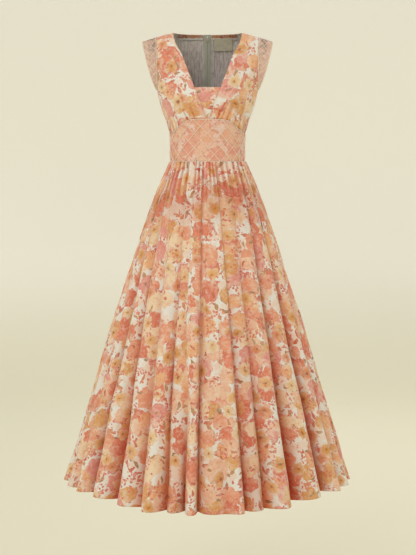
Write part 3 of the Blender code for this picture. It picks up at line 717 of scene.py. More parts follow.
def flower_cells(graph, place, cell, size, shift, petals, scallop, ragged):
    """Layout of one layer of flowers: how far in, round and out a place is, and its numbers."""
    moved = graph.vector("ADD", place, shift)
    offset, (one, two, three) = moved.cells(cell)
    x, y, _ = offset.parts()
    span = (one * 0.35 + 0.65) * (cell * size)
    radius = offset.length() / span
    angle = graph.math("ARCTAN2", y, x) / (2 * math.pi) + two
    lobe = graph.math("ABSOLUTE", graph.math("FRACT", angle * petals) - 0.5) * 2
    torn = (moved.noise(0.011, 3.0, 0.65) - 0.5) * ragged
    inside = radius / (1 - lobe * lobe * scallop) + torn
    return moved, radius, angle, lobe, inside, (one, two, three)


def full_blossoms(graph, place, cell, size, share, shift):
    """Big rounded flowers in washes that run from pale to deep, with faint petal lines."""
    cells = flower_cells(graph, place, cell, size, shift, 6, 0.16, 0.24)
    moved, radius, angle, lobe, inside, (one, two, three) = cells
    shown = three < share
    petal = two.pick(BLOSSOM_COLORS)
    deep = petal.mix(0.5, paint(204, 96, 60))
    pale = petal.mix(0.6, paint(244, 226, 204))
    water = moved.noise(0.03, 3.0, 0.55) - 0.5
    drift = graph.math("COSINE", angle * (2 * math.pi) + one * 6) * radius
    color = petal.mix((water * 3.2 + drift).rise(0.0, 1.2), pale)
    color = color.mix((water * -2.6 - drift).rise(0.15, 1.3) * 0.6, deep)
    turns = graph.math("SINE", radius * 10 + angle * (2 * math.pi) + one * 9 + water * 5)
    line = turns.rise(0.7, 1.0) * radius.rise(0.9, 0.35)
    color = color.mix(line * 0.45, deep)
    crease = lobe.rise(0.84, 1.0) * radius.rise(0.35, 0.7)
    color = color.mix(crease * 0.4, deep)
    grain = moved.noise(0.007, 3.0, 0.6)
    color = color.mix(grain.rise(0.5, 0.72) * 0.45, pale)
    color = color.mix(grain.rise(0.46, 0.28) * 0.4, deep)
    color = color.mix(inside.rise(0.86, 0.98) * 0.22, deep)
    return shown * inside.rise(1.0, 0.95), shown * inside.rise(1.1, 1.02), color


def open_blossoms(graph, place, cell, size, share, shift):
    """Open flowers of five petals, streaked outwards from a brown heart."""
    cells = flower_cells(graph, place, cell, size, shift, 5, 0.3, 0.22)
    _, radius, angle, lobe, inside, (one, two, three) = cells
    shown = three < share
    petal = two.pick(OPEN_COLORS)
    heart = one.pick(HEART_COLORS)
    deep = petal.mix(0.5, heart)
    streak = graph.join(angle * 0.9, radius * 0.02).noise(0.02, 3.0, 0.6)
    color = petal.mix(radius.rise(0.4, 1.0) * 0.45, GROUND)
    color = color.mix(radius.rise(0.6, 0.1) * 0.5, deep)
    color = color.mix(streak.rise(0.52, 0.7) * 0.45, deep)
    crease = lobe.rise(0.8, 1.0) * radius.rise(0.1, 0.5)
    color = color.mix(crease * 0.5, deep)
    stamens = graph.math("SINE", angle * (2 * math.pi * 13)) * 0.03 + radius
    color = color.mix(stamens.rise(0.22, 0.13) * 0.8, heart)
    return shown * inside.rise(1.0, 0.93), shown * inside.rise(1.1, 1.02), color


def leaves(graph, place, cell, share, shift):
    """Narrow leaves and loose petals, turned every way."""
    moved = graph.vector("ADD", place, shift)
    offset, (one, two, three) = moved.cells(cell)
    turn = two * (2 * math.pi)
    x, y, _ = offset.parts()
    sine, cosine = graph.math("SINE", turn), graph.math("COSINE", turn)
    along = (x * cosine + y * sine) / (cell * 0.46)
    across = graph.math("ABSOLUTE", y * cosine - x * sine) / (cell * 0.17)
    bulge = 1 - along * along
    blade = across / graph.math("MAXIMUM", bulge, 0.001)
    shown = (bulge > 0.001) * (three < share)
    color = one.pick(LEAF_COLORS)
    color = color.mix(across.rise(0.16, 0.0) * 0.3, GROUND)
    return shown * blade.rise(1.0, 0.8), shown * blade.rise(1.4, 1.1) * 0.5, color


def berries(graph, place, cell, shift, often):
    """Small round buds and petals in clusters."""
    moved = graph.vector("ADD", place, shift)
    offset, (one, two, three) = moved.cells(cell, 0.95)
    radius = offset.length() / ((two * 0.3 + 0.7) * (cell * 0.46))
    cluster = moved.noise(0.05, 1.0) > often
    shown = cluster * (three < 0.8)
    color = one.pick(BERRY_COLORS)
    color = color.mix(radius.rise(0.5, 0.0) * 0.35, GROUND)
    return shown * radius.rise(1.0, 0.8), shown * radius.rise(1.3, 1.1) * 0.5, color


def printed(graph, place):
    """Colour of the watercolour flower print at a place of the flat cut."""
    for size, reach in ((0.04, 0.02), (0.01, 0.0045), (0.0035, 0.0015)):
        wobble = place.noise(size, 2.0, 0.6, plain=False)
        wobble = graph.vector("SUBTRACT", wobble, (0.5, 0.5, 0.5))
        wobble = graph.vector("MULTIPLY", wobble, (reach, reach, 0.0))
        place = graph.vector("ADD", place, wobble)
    wash = place.noise(0.045, 3.0, 0.6)
    color = graph.mix(GROUND, wash.rise(0.5, 0.56) * 0.7, paint(238, 208, 188))
    for mask, halo, layer in (
        leaves(graph, place, 0.034, 0.6, (0.3, 0.1, 0)),
        berries(graph, place, 0.0105, (0.7, 0.2, 0), 0.56),
        full_blossoms(graph, place, 0.07, 0.56, 0.78, (0, 0, 0)),
        full_blossoms(graph, place, 0.083, 0.46, 0.66, (0.53, 0.31, 0)),
        leaves(graph, place, 0.024, 0.22, (2.3, 1.7, 0)),
        full_blossoms(graph, place, 0.056, 0.5, 0.42, (1.13, 0.71, 0)),
        open_blossoms(graph, place, 0.062, 0.45, 0.42, (0.17, 0.83, 0)),
        berries(graph, place, 0.009, (0.4, 0.9, 0), 0.6),
    ):
        color = color.mix(halo * 0.22, GROUND)
        color = color.mix(mask, layer)
    water = place.noise(0.014, 4.0, 0.65)
    color = color.mix(water.rise(0.48, 0.74) * 0.34, GROUND)
    return color


def weave(graph, place, crinkle=0.5):
    """Bump of the plain weave, with faint crinkles of worn cloth."""
    coarse = place.noise(0.012, 3.0)
    fine = place.noise(0.0012, 2.0)
    return fine.bump(0.0004, 0.35, coarse.bump(0.0022, crinkle))


def net_hole(graph, place, jitter):
    """Distance from the middle of the nearest hole of the fine net, in half steps."""
    offset, _ = place.cells(NET_STEP, jitter)
    return offset.length() / (NET_STEP / 2)


def print_material(name, tint=None, tint_share=0.0, speckle=0.0):
    graph = Graph(name)
    place = graph.flat_map()
    color = printed(graph, place)
    # painted shade: the print darkened where the mesh's shade mask is high, deep in folds
    color = color.mix(graph.shade() * VALLEY_SHADE_PAINT[0], VALLEY_SHADE_PAINT[1], "MULTIPLY")
    if tint is not None:
        color = color.mix(tint_share, tint)
    if speckle:
        hole = net_hole(graph, place, 0.15)
        color = color.mix(hole.rise(0.25, 0.6, (speckle, 0.0)), paint(150, 92, 74))
    return graph.finish(color, 0.78, weave(graph, place), sheen=0.15)


def reverse_color(graph, place):
    mottle = place.noise(0.03, 3.0)
    return graph.mix(paint(204, 200, 196), mottle.rise(0.35, 0.7), paint(190, 188, 186))


def reverse_material():
    """Wrong side of the print: grey-taupe, darker deep in folds by painted shade."""
    graph = Graph("cloth_reverse")
    place = graph.flat_map()
    # painted shade: darker colour where the mesh's shade mask is high, deep in folds
    deep = graph.shade() * 0.6
    base = reverse_color(graph, place).mix(deep, paint(140, 112, 112))
    return graph.finish(base, 0.85, weave(graph, place), sheen=0.1)


def shirred_reverse_material():
    """Wrong side of the shirred back: mauve lines of painted shade in the pucker grooves, crossed
    by faint elastic rows.
    """
    graph = Graph("shirred_reverse")
    place = graph.flat_map()
    across, up, _ = place.parts()
    broken = graph.join(across, up * 0.16).noise(0.0046, 3.0, 0.65)
    deep = graph.shade()
    # painted shade: mauve lines and broken streaks in the pucker grooves, from the relief in the
    # shade mask
    line = broken.rise(0.46, 0.58) * deep.rise(-0.3, 0.15)
    groove_shade = deep.rise(0.0, 0.3) * 0.35 + deep * 0.2
    color = reverse_color(graph, place).mix(groove_shade, paint(190, 172, 178))
    color = color.mix(line * 0.5, paint(136, 104, 116))
    row = graph.math("ABSOLUTE", graph.math("FRACT", up / (SHIRR_ROW * MM)) - 0.5) * 2
    elastic = row.rise(0.84, 1.0) * deep.rise(0.0, 0.2)
    color = color.mix(elastic * 0.34, paint(214, 206, 198))
    puckers = elastic.bump(0.0006, 0.6, weave(graph, place))
    return graph.finish(color, 0.85, line.bump(0.001, -0.6, puckers), sheen=0.1)


def facing_material():
    """Printed strip sewn inside the back neck edge, its print darkened by painted shade, its foot
    plain like the reverse.
    """
    graph = Graph("facing_print")
    place = graph.flat_map()
    ragged = place.noise(0.012, 2.0)
    # painted shade: the print multiplied by a dark grey
    strip = printed(graph, place).mix(0.85, paint(176, 150, 142), "MULTIPLY")
    show = (graph.shade() + (ragged - 0.5) * 0.8).rise(0.35, 0.6)
    color = reverse_color(graph, place).mix(show, strip)
    return graph.finish(color, 0.85, weave(graph, place), sheen=0.1)


def plain_material(name, color, other, size, roughness=0.8, distance=0.0003, metallic=0.0):
    """Two-tone material for thread, tape, braid or metal, placed by the object itself."""
    graph = Graph(name)
    place = Wire(graph, graph.node("TexCoord", {}).outputs["Object"])
    made = graph.node("TexNoise", {"Vector": place, "Scale": 1 / size, "Detail": 3.0})
    tone = Wire(graph, made.outputs[0])
    mixed = graph.mix(color, tone.rise(0.35, 0.65), other)
    return graph.finish(mixed, roughness, tone.bump(distance, 0.5), metallic=metallic)


def net_material():
    """Sheer beige-pink net: cloudy, with small gaps, and painted shade in grey where the inside
    shows through.
    """
    graph = Graph("sheer_net")
    place = graph.flat_map()
    hole = net_hole(graph, place, 0.2)
    gap = hole.rise(0.3, 0.7, (1.0, 0.0))
    cloudy = place.noise(0.011, 2.0)
    pale = graph.mix(paint(244, 220, 204), cloudy.rise(0.35, 0.6), paint(222, 184, 168))
    # painted shade: grey patches of the shaded inside, placed by the shade mask
    inside_shade = graph.shade() * place.noise(0.014, 1.0).rise(0.42, 0.56)
    color = pale.mix(inside_shade * 0.85, paint(150, 138, 132))
    alpha = cloudy.rise(0.35, 0.65, (0.66, 0.84)) * (1 - gap * 0.4)
    return graph.finish(color, 0.8, hole.bump(0.0004, 0.4), sheen=0.1, alpha=alpha)


# ---------------------------------------------------------------- skirt


def skirt_rings(drops, shares):
    """Outer points of the whole skirt: a row for each drop, flute after flute round it."""
    folds = np.array(FOLDS, dtype=float)
    after = np.roll(folds, -1, axis=0)
    after[-1, :2] += 360
    number = np.arange(len(folds))
    near, far = (np.repeat(table, len(shares), axis=0) for table in (folds, after))
    number = np.repeat(number, len(shares))
    share = np.tile(shares, len(folds))
    drop = np.asarray(drops, dtype=float)[:, None]
    width, front, back = np.moveaxis(soft_table(FLARE, drop), -1, 0)
    fall = drop / (WAIST - HEM)
    hem_pull = fall * FLARE[-1][1] / width
    at_waist = between(near[:, 0], far[:, 0], share)
    at_hem = between(near[:, 1], far[:, 1], share)
    wander = FOLD_WANDER * 4 * fall * (1 - fall)
    wander = wander * np.sin(2 * np.pi * (WANDER_WAVES * fall + WANDER_SHIFT * number))
    turn = between(at_waist, at_hem, hem_pull) + wander * (1 - share)

    def depth_of(table):
        start, depth = table[:, 2], table[:, 3]
        return depth * np.maximum(0, (drop - start) / (WAIST - HEM - start)) ** FOLD_GROWTH

    crest = (np.sin(np.pi * share) ** 2 + VALLEY_SOFTNESS ** 2) ** (FLUTE_ROUNDNESS / 2)
    low = VALLEY_SOFTNESS ** FLUTE_ROUNDNESS
    crest = (crest - low) / ((1 + VALLEY_SOFTNESS ** 2) ** (FLUTE_ROUNDNESS / 2) - low)
    dip = (1 - crest) * between(depth_of(near), depth_of(far), share)
    dip = dip + near[:, 4] * fall * np.sin(np.pi * share)
    half_gather = np.radians(far[:, 0] - near[:, 0]) / 2 * width
    gather = np.minimum(GATHER_DEPTH, GATHER_SHARE * half_gather)
    change, pace = GATHER_CHANGE
    gather = gather * (1 - ramp(*GATHER_FADE, drop)) * (1 - change * (1 - np.sin(pace * number)))
    from_placket = ((turn - 180) / PLACKET_TURN) ** 2
    ripple = gather * np.cos(4 * np.pi * share) * (1 - np.exp(-from_placket))
    from_middle = np.degrees(np.arcsin(np.abs(np.sin(np.radians(turn)))))
    slim = HEM_SLIMNESS * fall * ramp(*SLIM_TURNS, from_middle)

    angle = np.radians(turn)
    depth = np.where(np.cos(angle) > 0, front, back) * (1 - slim)
    x, y = width * np.sin(angle), -depth * np.cos(angle)
    normal = unit(np.stack([np.sin(angle) / width, -np.cos(angle) / depth], axis=-1))
    side = np.tanh(LEAN_SHARPNESS * np.sin(angle + math.radians(LEAN_CENTRE)))
    lean = -FLUTE_LEAN * dip * np.cos(angle) * side
    small = skirt_relief(drop, len(share), from_placket)
    relief = small - dip - ripple
    x = x + normal[..., 0] * relief - normal[..., 1] * lean
    y = y + normal[..., 1] * relief + normal[..., 0] * lean
    # painted shade mask: high deep in the flute valleys and in the hollows between the waist
    # gathers
    shade = np.clip(dip / FLUTE_SHADE_DEPTH, 0, 1) ** FLUTE_SHADE_POWER
    hollow = ramp(1.2, -0.2, small - ripple / 2)
    shade = shade + GATHER_SHADE * hollow * (1 - ramp(*GATHER_SHADE_FADE, drop))
    return np.stack([x, y, np.broadcast_to(WAIST - drop, x.shape)], axis=-1), shade


def skirt_relief(drop, columns, from_placket):
    """Small uneven gathers below the waist seam, and slow waves of the cloth below them."""
    rng = np.random.default_rng(7)
    column = np.arange(columns)
    relief = np.zeros((len(drop), columns))
    at = 0.0
    while at < columns - PLEAT_STEP:
        deep, broad = rng.uniform(*PLEAT_DEPTH), rng.uniform(*PLEAT_WIDTH) * PLEAT_STEP
        length = PLEAT_LENGTH[0] + (PLEAT_LENGTH[1] - PLEAT_LENGTH[0]) * rng.random() ** 1.8
        slant = rng.normal(0, PLEAT_SLANT)
        away = (column - at - slant * drop + columns / 2) % columns - columns / 2
        ridge = np.exp(-(away / (broad * (1 + drop / PLEAT_SPREAD))) ** 2)
        relief += deep * ridge * (1 - ramp(0.15 * length, length, drop))
        at += broad * rng.uniform(*PLEAT_GAP)
    relief *= 1 - np.exp(-from_placket)
    around = 2 * np.pi * column / columns
    for count, pace, size in SLOW_WAVES:
        start = rng.uniform(0, 2 * np.pi)
        bend = np.sin(pace * drop / 1000 * np.pi + start)
        wave = np.sin(count * around + 2.2 * bend + start)
        relief += size * wave * ramp(*SLOW_WAVE_FADE, drop)
    return relief


def skirt_cut(rings):
    """Flat cut of the skirt, a ring sector: the radius of each row and the angle of each column."""
    hem = run_length(np.concatenate([rings[-1], rings[-1, :1]]), 0)
    slant = run_length(rings, 0).mean(axis=1)
    waist = np.linalg.norm(np.diff(rings[0], axis=0), axis=1).sum() * WAIST_FULLNESS
    start = slant[-1] * waist / (hem[-1] - waist)
    return start + slant, hem / (start + slant[-1])


def skirt(front_cloth, reverse, thread):
    shares = np.arange(FLUTE_COLUMNS) / FLUTE_COLUMNS
    fall = WAIST - HEM
    drops = fall * np.linspace(0, 1, SKIRT_ROWS) ** 1.15
    turned_up = fall - HEM_TURN
    drops = np.sort(np.concatenate([drops[drops < turned_up - 4], HEM_ROWS + turned_up]))
    hem_row = int(np.searchsorted(drops, turned_up))
    rings, shade = skirt_rings(drops, shares)
    dip = HEM_DIP * np.exp(-((drops - turned_up) / HEM_DIP_SPREAD) ** 2)
    rings = rings + surface_normals(rings) * dip[:, None, None]
    radius, angle = skirt_cut(rings)
    whole = rings.shape[1]
    half = FLUTE_COLUMNS // 2
    right, left = (fold * FLUTE_COLUMNS + half for fold in SIDE_SEAM_FOLDS)
    back = BACK_SEAM_FOLD * FLUTE_COLUMNS + half
    full_turn = angle[-1]
    for label, start, end in (
        ("front", left - whole, right),
        ("back_right", right, back),
        ("back_left", back, left),
    ):
        picked = np.arange(start, end + 1)
        grid = rings[:, picked % whole].copy()
        for column, inward in ((0, 1), (-1, -1)):
            if picked[column] == back:
                grid[:, column, 0] = -inward * np.where(drops < ZIP_DROP, ZIP_MEETING, 0.1)
        turn = angle[picked % whole] + full_turn * (picked // whole)
        turn = turn - (turn[0] + turn[-1]) / 2
        flat = np.stack([np.sin(turn), -np.cos(turn)], axis=-1) * radius[:, None, None]
        looks = {"hold": "gathered", "shade": shade[:, picked % whole]}
        cloth(f"skirt_{label}", grid, flat, (front_cloth, reverse), **looks)
        stitches(f"skirt_{label}_stitches", [grid_line(grid, hem_row)], thread)


# ---------------------------------------------------------------- bodice


def v_edge_x(height):
    return between(NECK_POINT, V_FOOT_HALF, np.asarray(height) / V_FOOT)


def midriff_top(turn):
    turn = np.abs((np.asarray(turn, dtype=float) + 180) % 360 - 180)
    columns = np.arange(0, 190, 10)
    rows = np.array(sorted(MIDRIFF_TOP), dtype=float)
    return np.interp(turn, columns, np.interp(columns, rows[:, 0], rows[:, 1]))


def shoulder_height(x):
    return SHOULDER_POINT * np.clip((x - NECK_POINT) / (STRAP_OUTER - NECK_POINT), 0, 1)


def bodice_turns(share, height, inner_x, top_x, rise, behind):
    """Turn of a bodice column: even steps round the body, and even steps of x at the straps."""
    arm = soft_table(ARMHOLE, height)[..., 0]
    edge = np.where(height < UNDERARM, form_at(height)[0], arm)
    even_turns = between(turn_of(inner_x, height, behind), turn_of(edge, height, behind), share)
    x = between(inner_x, arm, share)
    x = between(x, top_x, rise ** 4)
    return between(even_turns, turn_of(x, height, behind), ramp(*STRAP_BLEND, height))


def front_grid(foot_turns, rows):
    """Turns, heights, foot turns and heights over the seam of the right front bodice."""
    foot_turn, rise = np.meshgrid(foot_turns, rows)
    share = (foot_turn - foot_turns[0]) / (foot_turns[-1] - foot_turns[0])
    low = midriff_top(foot_turn) + SEAM_GAP
    top_x = between(NECK_POINT, STRAP_OUTER, share)
    height = between(low, shoulder_height(top_x), 1 - (1 - rise) ** ROW_CROWDING)
    turn = bodice_turns(share, height, v_edge_x(height), top_x, rise, behind=False)
    turn = np.where(rise == 0, foot_turn, turn)
    return turn, height, foot_turn, height - low


def zip_edge_x(height):
    """Distance of the centre back edges from the centre: wider round the slider."""
    return between(ZIP_MEETING, ZIP_HALF_GAP, ramp(*ZIP_OPENS, height))


def back_grid(columns, rows):
    share, rise = np.meshgrid(columns, rows)
    low = midriff_top(180) + SEAM_GAP
    top_x = between(ZIP_HALF_GAP, STRAP_OUTER, share)
    height = between(low, shoulder_height(top_x), 1 - (1 - rise) ** ROW_CROWDING)
    turn = bodice_turns(share, height, zip_edge_x(height), top_x, rise, behind=True)
    return turn, height, share


def bust_relief(foot_turn, above_seam, side):
    """Uneven gathers under the bust, deepest at the seam, and faint drag lines above."""
    rng = np.random.default_rng(31 if side > 0 else 47)
    relief = np.zeros_like(foot_turn)
    for turn, deep, broad, length in BUST_GATHERS:
        turn = turn + rng.normal(0, 1.2)
        deep, length = deep * rng.uniform(0.7, 1.2), length * rng.uniform(0.75, 1.2)
        slant = rng.normal(0, 0.02)
        away = (foot_turn - turn - slant * above_seam) / (broad * (1 + above_seam / 90))
        relief += deep * np.exp(-away ** 2) * (1 - ramp(0.1 * length, length, above_seam))
    relief *= 0.35 + 0.65 * ramp(0, 7, above_seam)
    wave = np.sin(foot_turn / 6.5 + above_seam / 60 + side) * np.sin(above_seam / 38 + 1.3)
    return relief + 0.7 * wave * ramp(10, 60, above_seam)


def bodice_fronts(front_cloth, reverse, thread):
    foot_turns = np.linspace(float(turn_of(V_FOOT_HALF, V_FOOT)), 90, 97)
    turn, height, foot_turn, above = front_grid(foot_turns, np.linspace(0, 1, 73))
    base = form_point(turn, height)
    across = run_length(base, 1) + v_edge_x(height[:, :1])
    up = run_length(base, 0)
    flat = np.stack([across, up - up[-1:, :1] + (height[:1] + 300)], axis=-1)
    for side, label in SIDES:
        relief = bust_relief(foot_turn, above, side)
        grid = mirrored(over_form(turn, height, relief), side)
        cut = placed_cut(flat, side, FRONT_CUT)
        # painted shade mask: darker colour in the hollows between the gathers, near the seam
        shade = 0.6 * ramp(1.0, 0.0, relief) * (1 - ramp(15, 60, above)) * ramp(7, 12, foot_turn)
        cloth(f"front_bodice_{label}", grid, cut, (front_cloth, reverse), shade=shade)
        rows = [grid_line(grid, column=2), grid_line(grid, column=-2)]
        stitches(f"front_bodice_{label}_stitches", rows, thread)


def shirring(share, height, side):
    """Upright puckers of the back, uneven from one to the next, with fine cross rows."""
    start, end = SHIRR_SHARE
    inside = ramp(start - 0.02, start + 0.03, share) * (1 - ramp(end - 0.03, end + 0.02, share))
    phase = (share - start) / (end - start)
    shaken = phase + 0.012 * smooth_noise(height / 26 + 9 * side, 5) * np.sin(3 * np.pi * phase)
    broad = (1 - np.cos(2 * np.pi * SHIRR_RIDGES * shaken)) / 2
    fine = (1 - np.cos(2 * np.pi * SHIRR_FINE_RIDGES * shaken + 2 * np.sin(height / 17))) / 2
    row = np.abs(np.sin(np.pi * height / SHIRR_ROW))
    fade = 1 - ramp(*SHIRR_BAND, height)
    low = 1 - 0.25 * ramp(-330, -250, height)
    relief = SHIRR_DEPTH[0] * broad * low + SHIRR_DEPTH[1] * fine * (0.45 + 0.55 * row)
    return relief * inside * (0.2 + 0.8 * fade)


def bodice_backs(front_cloth, reverse, thread):
    turn, height, share = back_grid(np.linspace(0, 1, 201), np.linspace(0, 1, 91))
    base = form_point(turn, height)
    flat = np.stack([run_length(base, 1) * BACK_FULLNESS, run_length(base, 0)], axis=-1)
    for side, label in SIDES:
        relief = shirring(share, height, side)
        grid = mirrored(over_form(turn, height, relief), side)
        cut = placed_cut(flat, side, BACK_CUT, flip=-1)
        # the puckers' relief as a painted shade mask, read by the materials of both sides
        looks = {"hold": "gathered", "shade": (relief / sum(SHIRR_DEPTH)) ** 1.5}
        cloth(f"back_bodice_{label}", grid, cut, (front_cloth, reverse), **looks)
        rows = [grid_line(grid, row=-2), grid_line(grid, column=4), grid_line(grid, column=-3)]
        stitches(f"back_bodice_{label}_stitches", rows, thread)


def neck_inset(front_cloth, reverse, thread):
    share, rise = np.meshgrid(np.linspace(-1, 1, 41), np.linspace(0, 1, 41))
    height = between(V_FOOT - 5, INSET_TOP, rise)
    turn = turn_of(share * (v_edge_x(np.maximum(height, V_FOOT)) + INSET_TUCK), height)
    grid = over_form(turn, height, -CAD_CLOTH - INSET_SINK)
    flat = placed_cut(np.stack([grid[..., 0], grid[..., 2]], axis=-1), 1, INSET_CUT)
    cloth("neck_inset", grid, flat, (front_cloth, reverse))
    stitches("neck_inset_stitches", [grid_line(grid, row=-2)], thread)


def back_facings(facing):
    turn, height, _ = back_grid(np.linspace(*FACING_SHARE, 49), np.linspace(FACING_FOOT, 1, 9))
    grid = over_form(turn, height, -CAD_CLOTH - FACING_THICK)
    flat = np.stack([run_length(grid, 1), run_length(grid, 0)], axis=-1)
    looks = {"thick": FACING_THICK, "shade": 1 - ramp(*FACING_SHOWS, height[-1:] - height)}
    for side, label in SIDES:
        cut = placed_cut(flat, side, FACING_CUT)
        cloth(f"back_neck_facing_{label}", mirrored(grid, side), cut, (facing, facing), **looks)


# ---------------------------------------------------------------- zip


TAPE = 0.8
TAPE_WIDTH = 9
TAPE_LIFT = 1.2
TAPE_SINK = 1.5
TAPE_SINK_SPAN = (WAIST + 10, WAIST - 20)
SLIDER_SPAN = (-24.5, -8)
COIL_HALF = 1.7
COIL_HIGH = 1.1
COIL_PITCH = 1.5
COIL_WIRE = 0.32


def tape_line(heights, x, sink):
    """Points on the centre back at a distance behind the cloth's outer side, and outward ways."""
    skirt = soft_table(FLARE, np.maximum(WAIST - heights, 0))[..., 2]
    depth = np.where(heights < WAIST, skirt, form_at(np.maximum(heights, WAIST))[2])
    slope = np.gradient(depth, heights)
    tilt = np.hypot(slope, 1)
    lift = CAD_CLOTH + TAPE_LIFT + TAPE_SINK * ramp(*TAPE_SINK_SPAN, heights) + sink
    points = np.stack([np.full_like(heights, x), depth - lift * tilt, heights], axis=-1)
    return points, np.stack([0 * heights, 1 / tilt, -slope / tilt], axis=-1)


def zip_coil(nylon):
    """The zip's closed coil between the tapes, above and below the slider."""
    parts = []
    for high, low in ((-1, SLIDER_SPAN[1]), (SLIDER_SPAN[0], WAIST - ZIP_DROP + 4)):
        heights = np.arange(high, low, -4.0)
        line, out = tape_line(heights, 0.0, TAPE / 2)
        parts.append(strand(line, out, COIL_HALF - COIL_WIRE, 1.2, relief=0))
        run = run_length(line, 0)
        along = np.arange(0, run[-1], COIL_PITCH / 12)
        middle, way = along_line(line, run, along), unit(along_line(out, run, along))
        angle = 2 * np.pi * along / COIL_PITCH
        wire = middle + np.array([1.0, 0, 0]) * (COIL_HALF * np.cos(angle))[:, None]
        wire = wire + way * (COIL_HIGH * np.sin(angle))[:, None]
        parts.append(strand(wire, unit(wire - middle), COIL_WIRE, 2 * COIL_WIRE, sides=5, relief=0))
    joined("zip_coil", parts, nylon)


def tape_stitches(thread, dark_thread):
    """Rows of stitches that hold the tapes, on the inside."""
    heights = np.arange(-3, WAIST - ZIP_DROP + 4, -4.0)
    for side, label, yarn in ((1, "right", dark_thread), (-1, "left", thread)):
        line, out = tape_line(heights, side * (ZIP_HALF_GAP + TAPE_WIDTH - 1.2), TAPE)
        stitches(f"zip_tape_{label}_stitches", [(line, -out)], yarn)


# ---------------------------------------------------------------- midriff


PER_DEGREE = 2.05
MIDRIFF_RADIUS = 118
LACE_ZIP_EDGE = 1.2
MIDRIFF_DIAMOND = (20.5, 21.7)
# half width and height of the braids
LACE_BAR = (1.1, 0.9)
LACE_BORDER = (1.2, 1.3)
YOKE_CUT = 700
TUCK_SINK = 1.9
TUCK_SINK_SPAN = (-0.6, 1.4)


def midriff(yoke_cloth, reverse):
    for label, start, end in PANELS:
        turns = np.linspace(start, end, int((end - start) / 1.5) + 1)
        turn, rise = np.meshgrid(turns, np.append(np.linspace(0, 1, 31), (1.25, 1.6, 2)))
        above = np.maximum(rise - 1, 0) * SEAM_TUCK
        height = between(WAIST, midriff_top(turn), np.minimum(rise, 1)) + above
        grid = over_form(turn, height, -TUCK_SINK * ramp(*TUCK_SINK_SPAN, above))
        for column, inward in ((0, 1), (-1, -1)):
            if turns[column] == 180:
                grid[:, column, 0] -= inward * ZIP_MEETING
        flat = np.stack([np.radians(turn) * MIDRIFF_RADIUS, height + YOKE_CUT], axis=-1)
        cloth(f"midriff_{label}", grid, flat, (yoke_cloth, reverse), slot="yoke_cloth")


def lattice_lines(half, low_u, high_u, low_v, high_v, origin=(0.0, 0.0), step=1.6):
    """Plane points of the bars of a diamond lattice, in runs kept inside the band."""
    runs = []
    us = np.arange(low_u, high_u + step / 2, step)
    reach = int((high_u - low_u) / half[0]) + 14
    for slope in (1, -1):
        for number in range(-2 * reach, 2 * reach + 1):
            vs = origin[1] + half[1] * (2 * number + slope * (us - origin[0]) / half[0])
            inside = (vs > low_v(us)) & (vs < high_v(us))
            picked = np.flatnonzero(inside)
            if len(picked) < 3:
                continue
            for part in np.split(picked, np.flatnonzero(np.diff(picked) > 1) + 1):
                if len(part) > 2:
                    runs.append(np.stack([us[part], vs[part]], axis=-1))
    return runs


def midriff_lattices(braid):
    def place(flat, lift):
        turn, height = flat[:, 0] / PER_DEGREE, WAIST + flat[:, 1]
        normal = form_normal(turn, height)
        return form_point(turn, height) + normal * lift, normal

    def top(u):
        return midriff_top(u / PER_DEGREE) - WAIST

    for label, start, end in PANELS:
        low = start * PER_DEGREE + LACE_ZIP_EDGE * (start == 180)
        high = end * PER_DEGREE - LACE_ZIP_EDGE * (end == 180)
        bars = lattice_lines(
            MIDRIFF_DIAMOND, low, high, lambda u: 0 * u + 0.4, lambda u: top(u) - 0.2, step=0.8
        )
        strands = braids([bar[::2] for bar in bars], place, 1.3, LACE_BAR, step=0.35)
        us = np.arange(low, high + 0.8, 1.6)
        edges = [np.stack([us, v], axis=-1) for v in (0 * us + 0.8, top(us) - 0.5)]
        strands += braids(edges, place, 1.1, LACE_BORDER, twist=3.6)
        node = f"midriff_lace_{label}"
        joined(f"midriff_lattice_{label}", strands, braid, node)


# ---------------------------------------------------------------- armhole trims


TRIM_DIAMOND = (17, 14)
TRIM_CROSSING = 17.5
TRIM_FIRST_CROSSING = 38
TRIM_WIDTH = 47
TRIM_TIP = 3
TRIM_FALL = (0.05, 0.27)
TRIM_FALL_SPAN = (0.35, 1)
TRIM_LEVEL_SPAN = (0.9, 1)
TRIM_ROUNDNESS = 0.9
TRIM_FLARE = 0.0025
TRIM_START = 4
NET_CUT_STEP = 70.0
NET_THICK = 0.3
TRIM_BAR = (0.8, 0.8)
TRIM_BORDER = (1.1, 1.0)


def armhole_seam(behind):
    """Points of the right armhole seam from the underarm to the shoulder."""
    rows = np.linspace(0, 1, 121)
    if behind:
        turn, height, _ = back_grid(np.array([1.0]), rows)
    else:
        foot_turns = np.array([float(turn_of(V_FOOT_HALF, V_FOOT)), 90])
        turn, height = (grid[:, -1:] for grid in front_grid(foot_turns, rows)[:2])
    seam = form_point(turn, height)[:, 0]
    return seam[height[:, 0] > UNDERARM + TRIM_START]


def trim_place(seam, along, behind):
    """Lay plane points (along the seam, out from it) on the crescent of the right armhole."""
    depth_sign = 1 if behind else -1
    seam_way = np.gradient(seam, along, axis=0)
    least_fall, most_fall = TRIM_FALL
    level = np.array([most_fall, 0, 1]) / math.hypot(most_fall, 1)

    def place(flat, sink):
        u, v = flat[..., 0].ravel(), flat[..., 1].ravel()
        start = along_line(seam, along, u)
        fall = least_fall + most_fall * ramp(*TRIM_FALL_SPAN, u / along[-1])
        outward = unit(np.stack([np.ones_like(u), TRIM_FLARE * start[:, 1], -fall], axis=-1))
        normal = unit(np.cross(outward, along_line(seam_way, along, u)) * -depth_sign)
        normal = unit(between(normal, level, ramp(*TRIM_LEVEL_SPAN, u / along[-1])[:, None]))
        points = start + outward * (v[:, None] + 0.1) - normal * sink
        return points.reshape(*flat.shape[:-1], 3), normal.reshape(*flat.shape[:-1], 3)

    return place


def trim_edge(u, length):
    rise = np.sin(np.pi / 2 * np.clip(u / length, 0, 1)) ** TRIM_ROUNDNESS
    return between(TRIM_TIP, TRIM_WIDTH, rise)


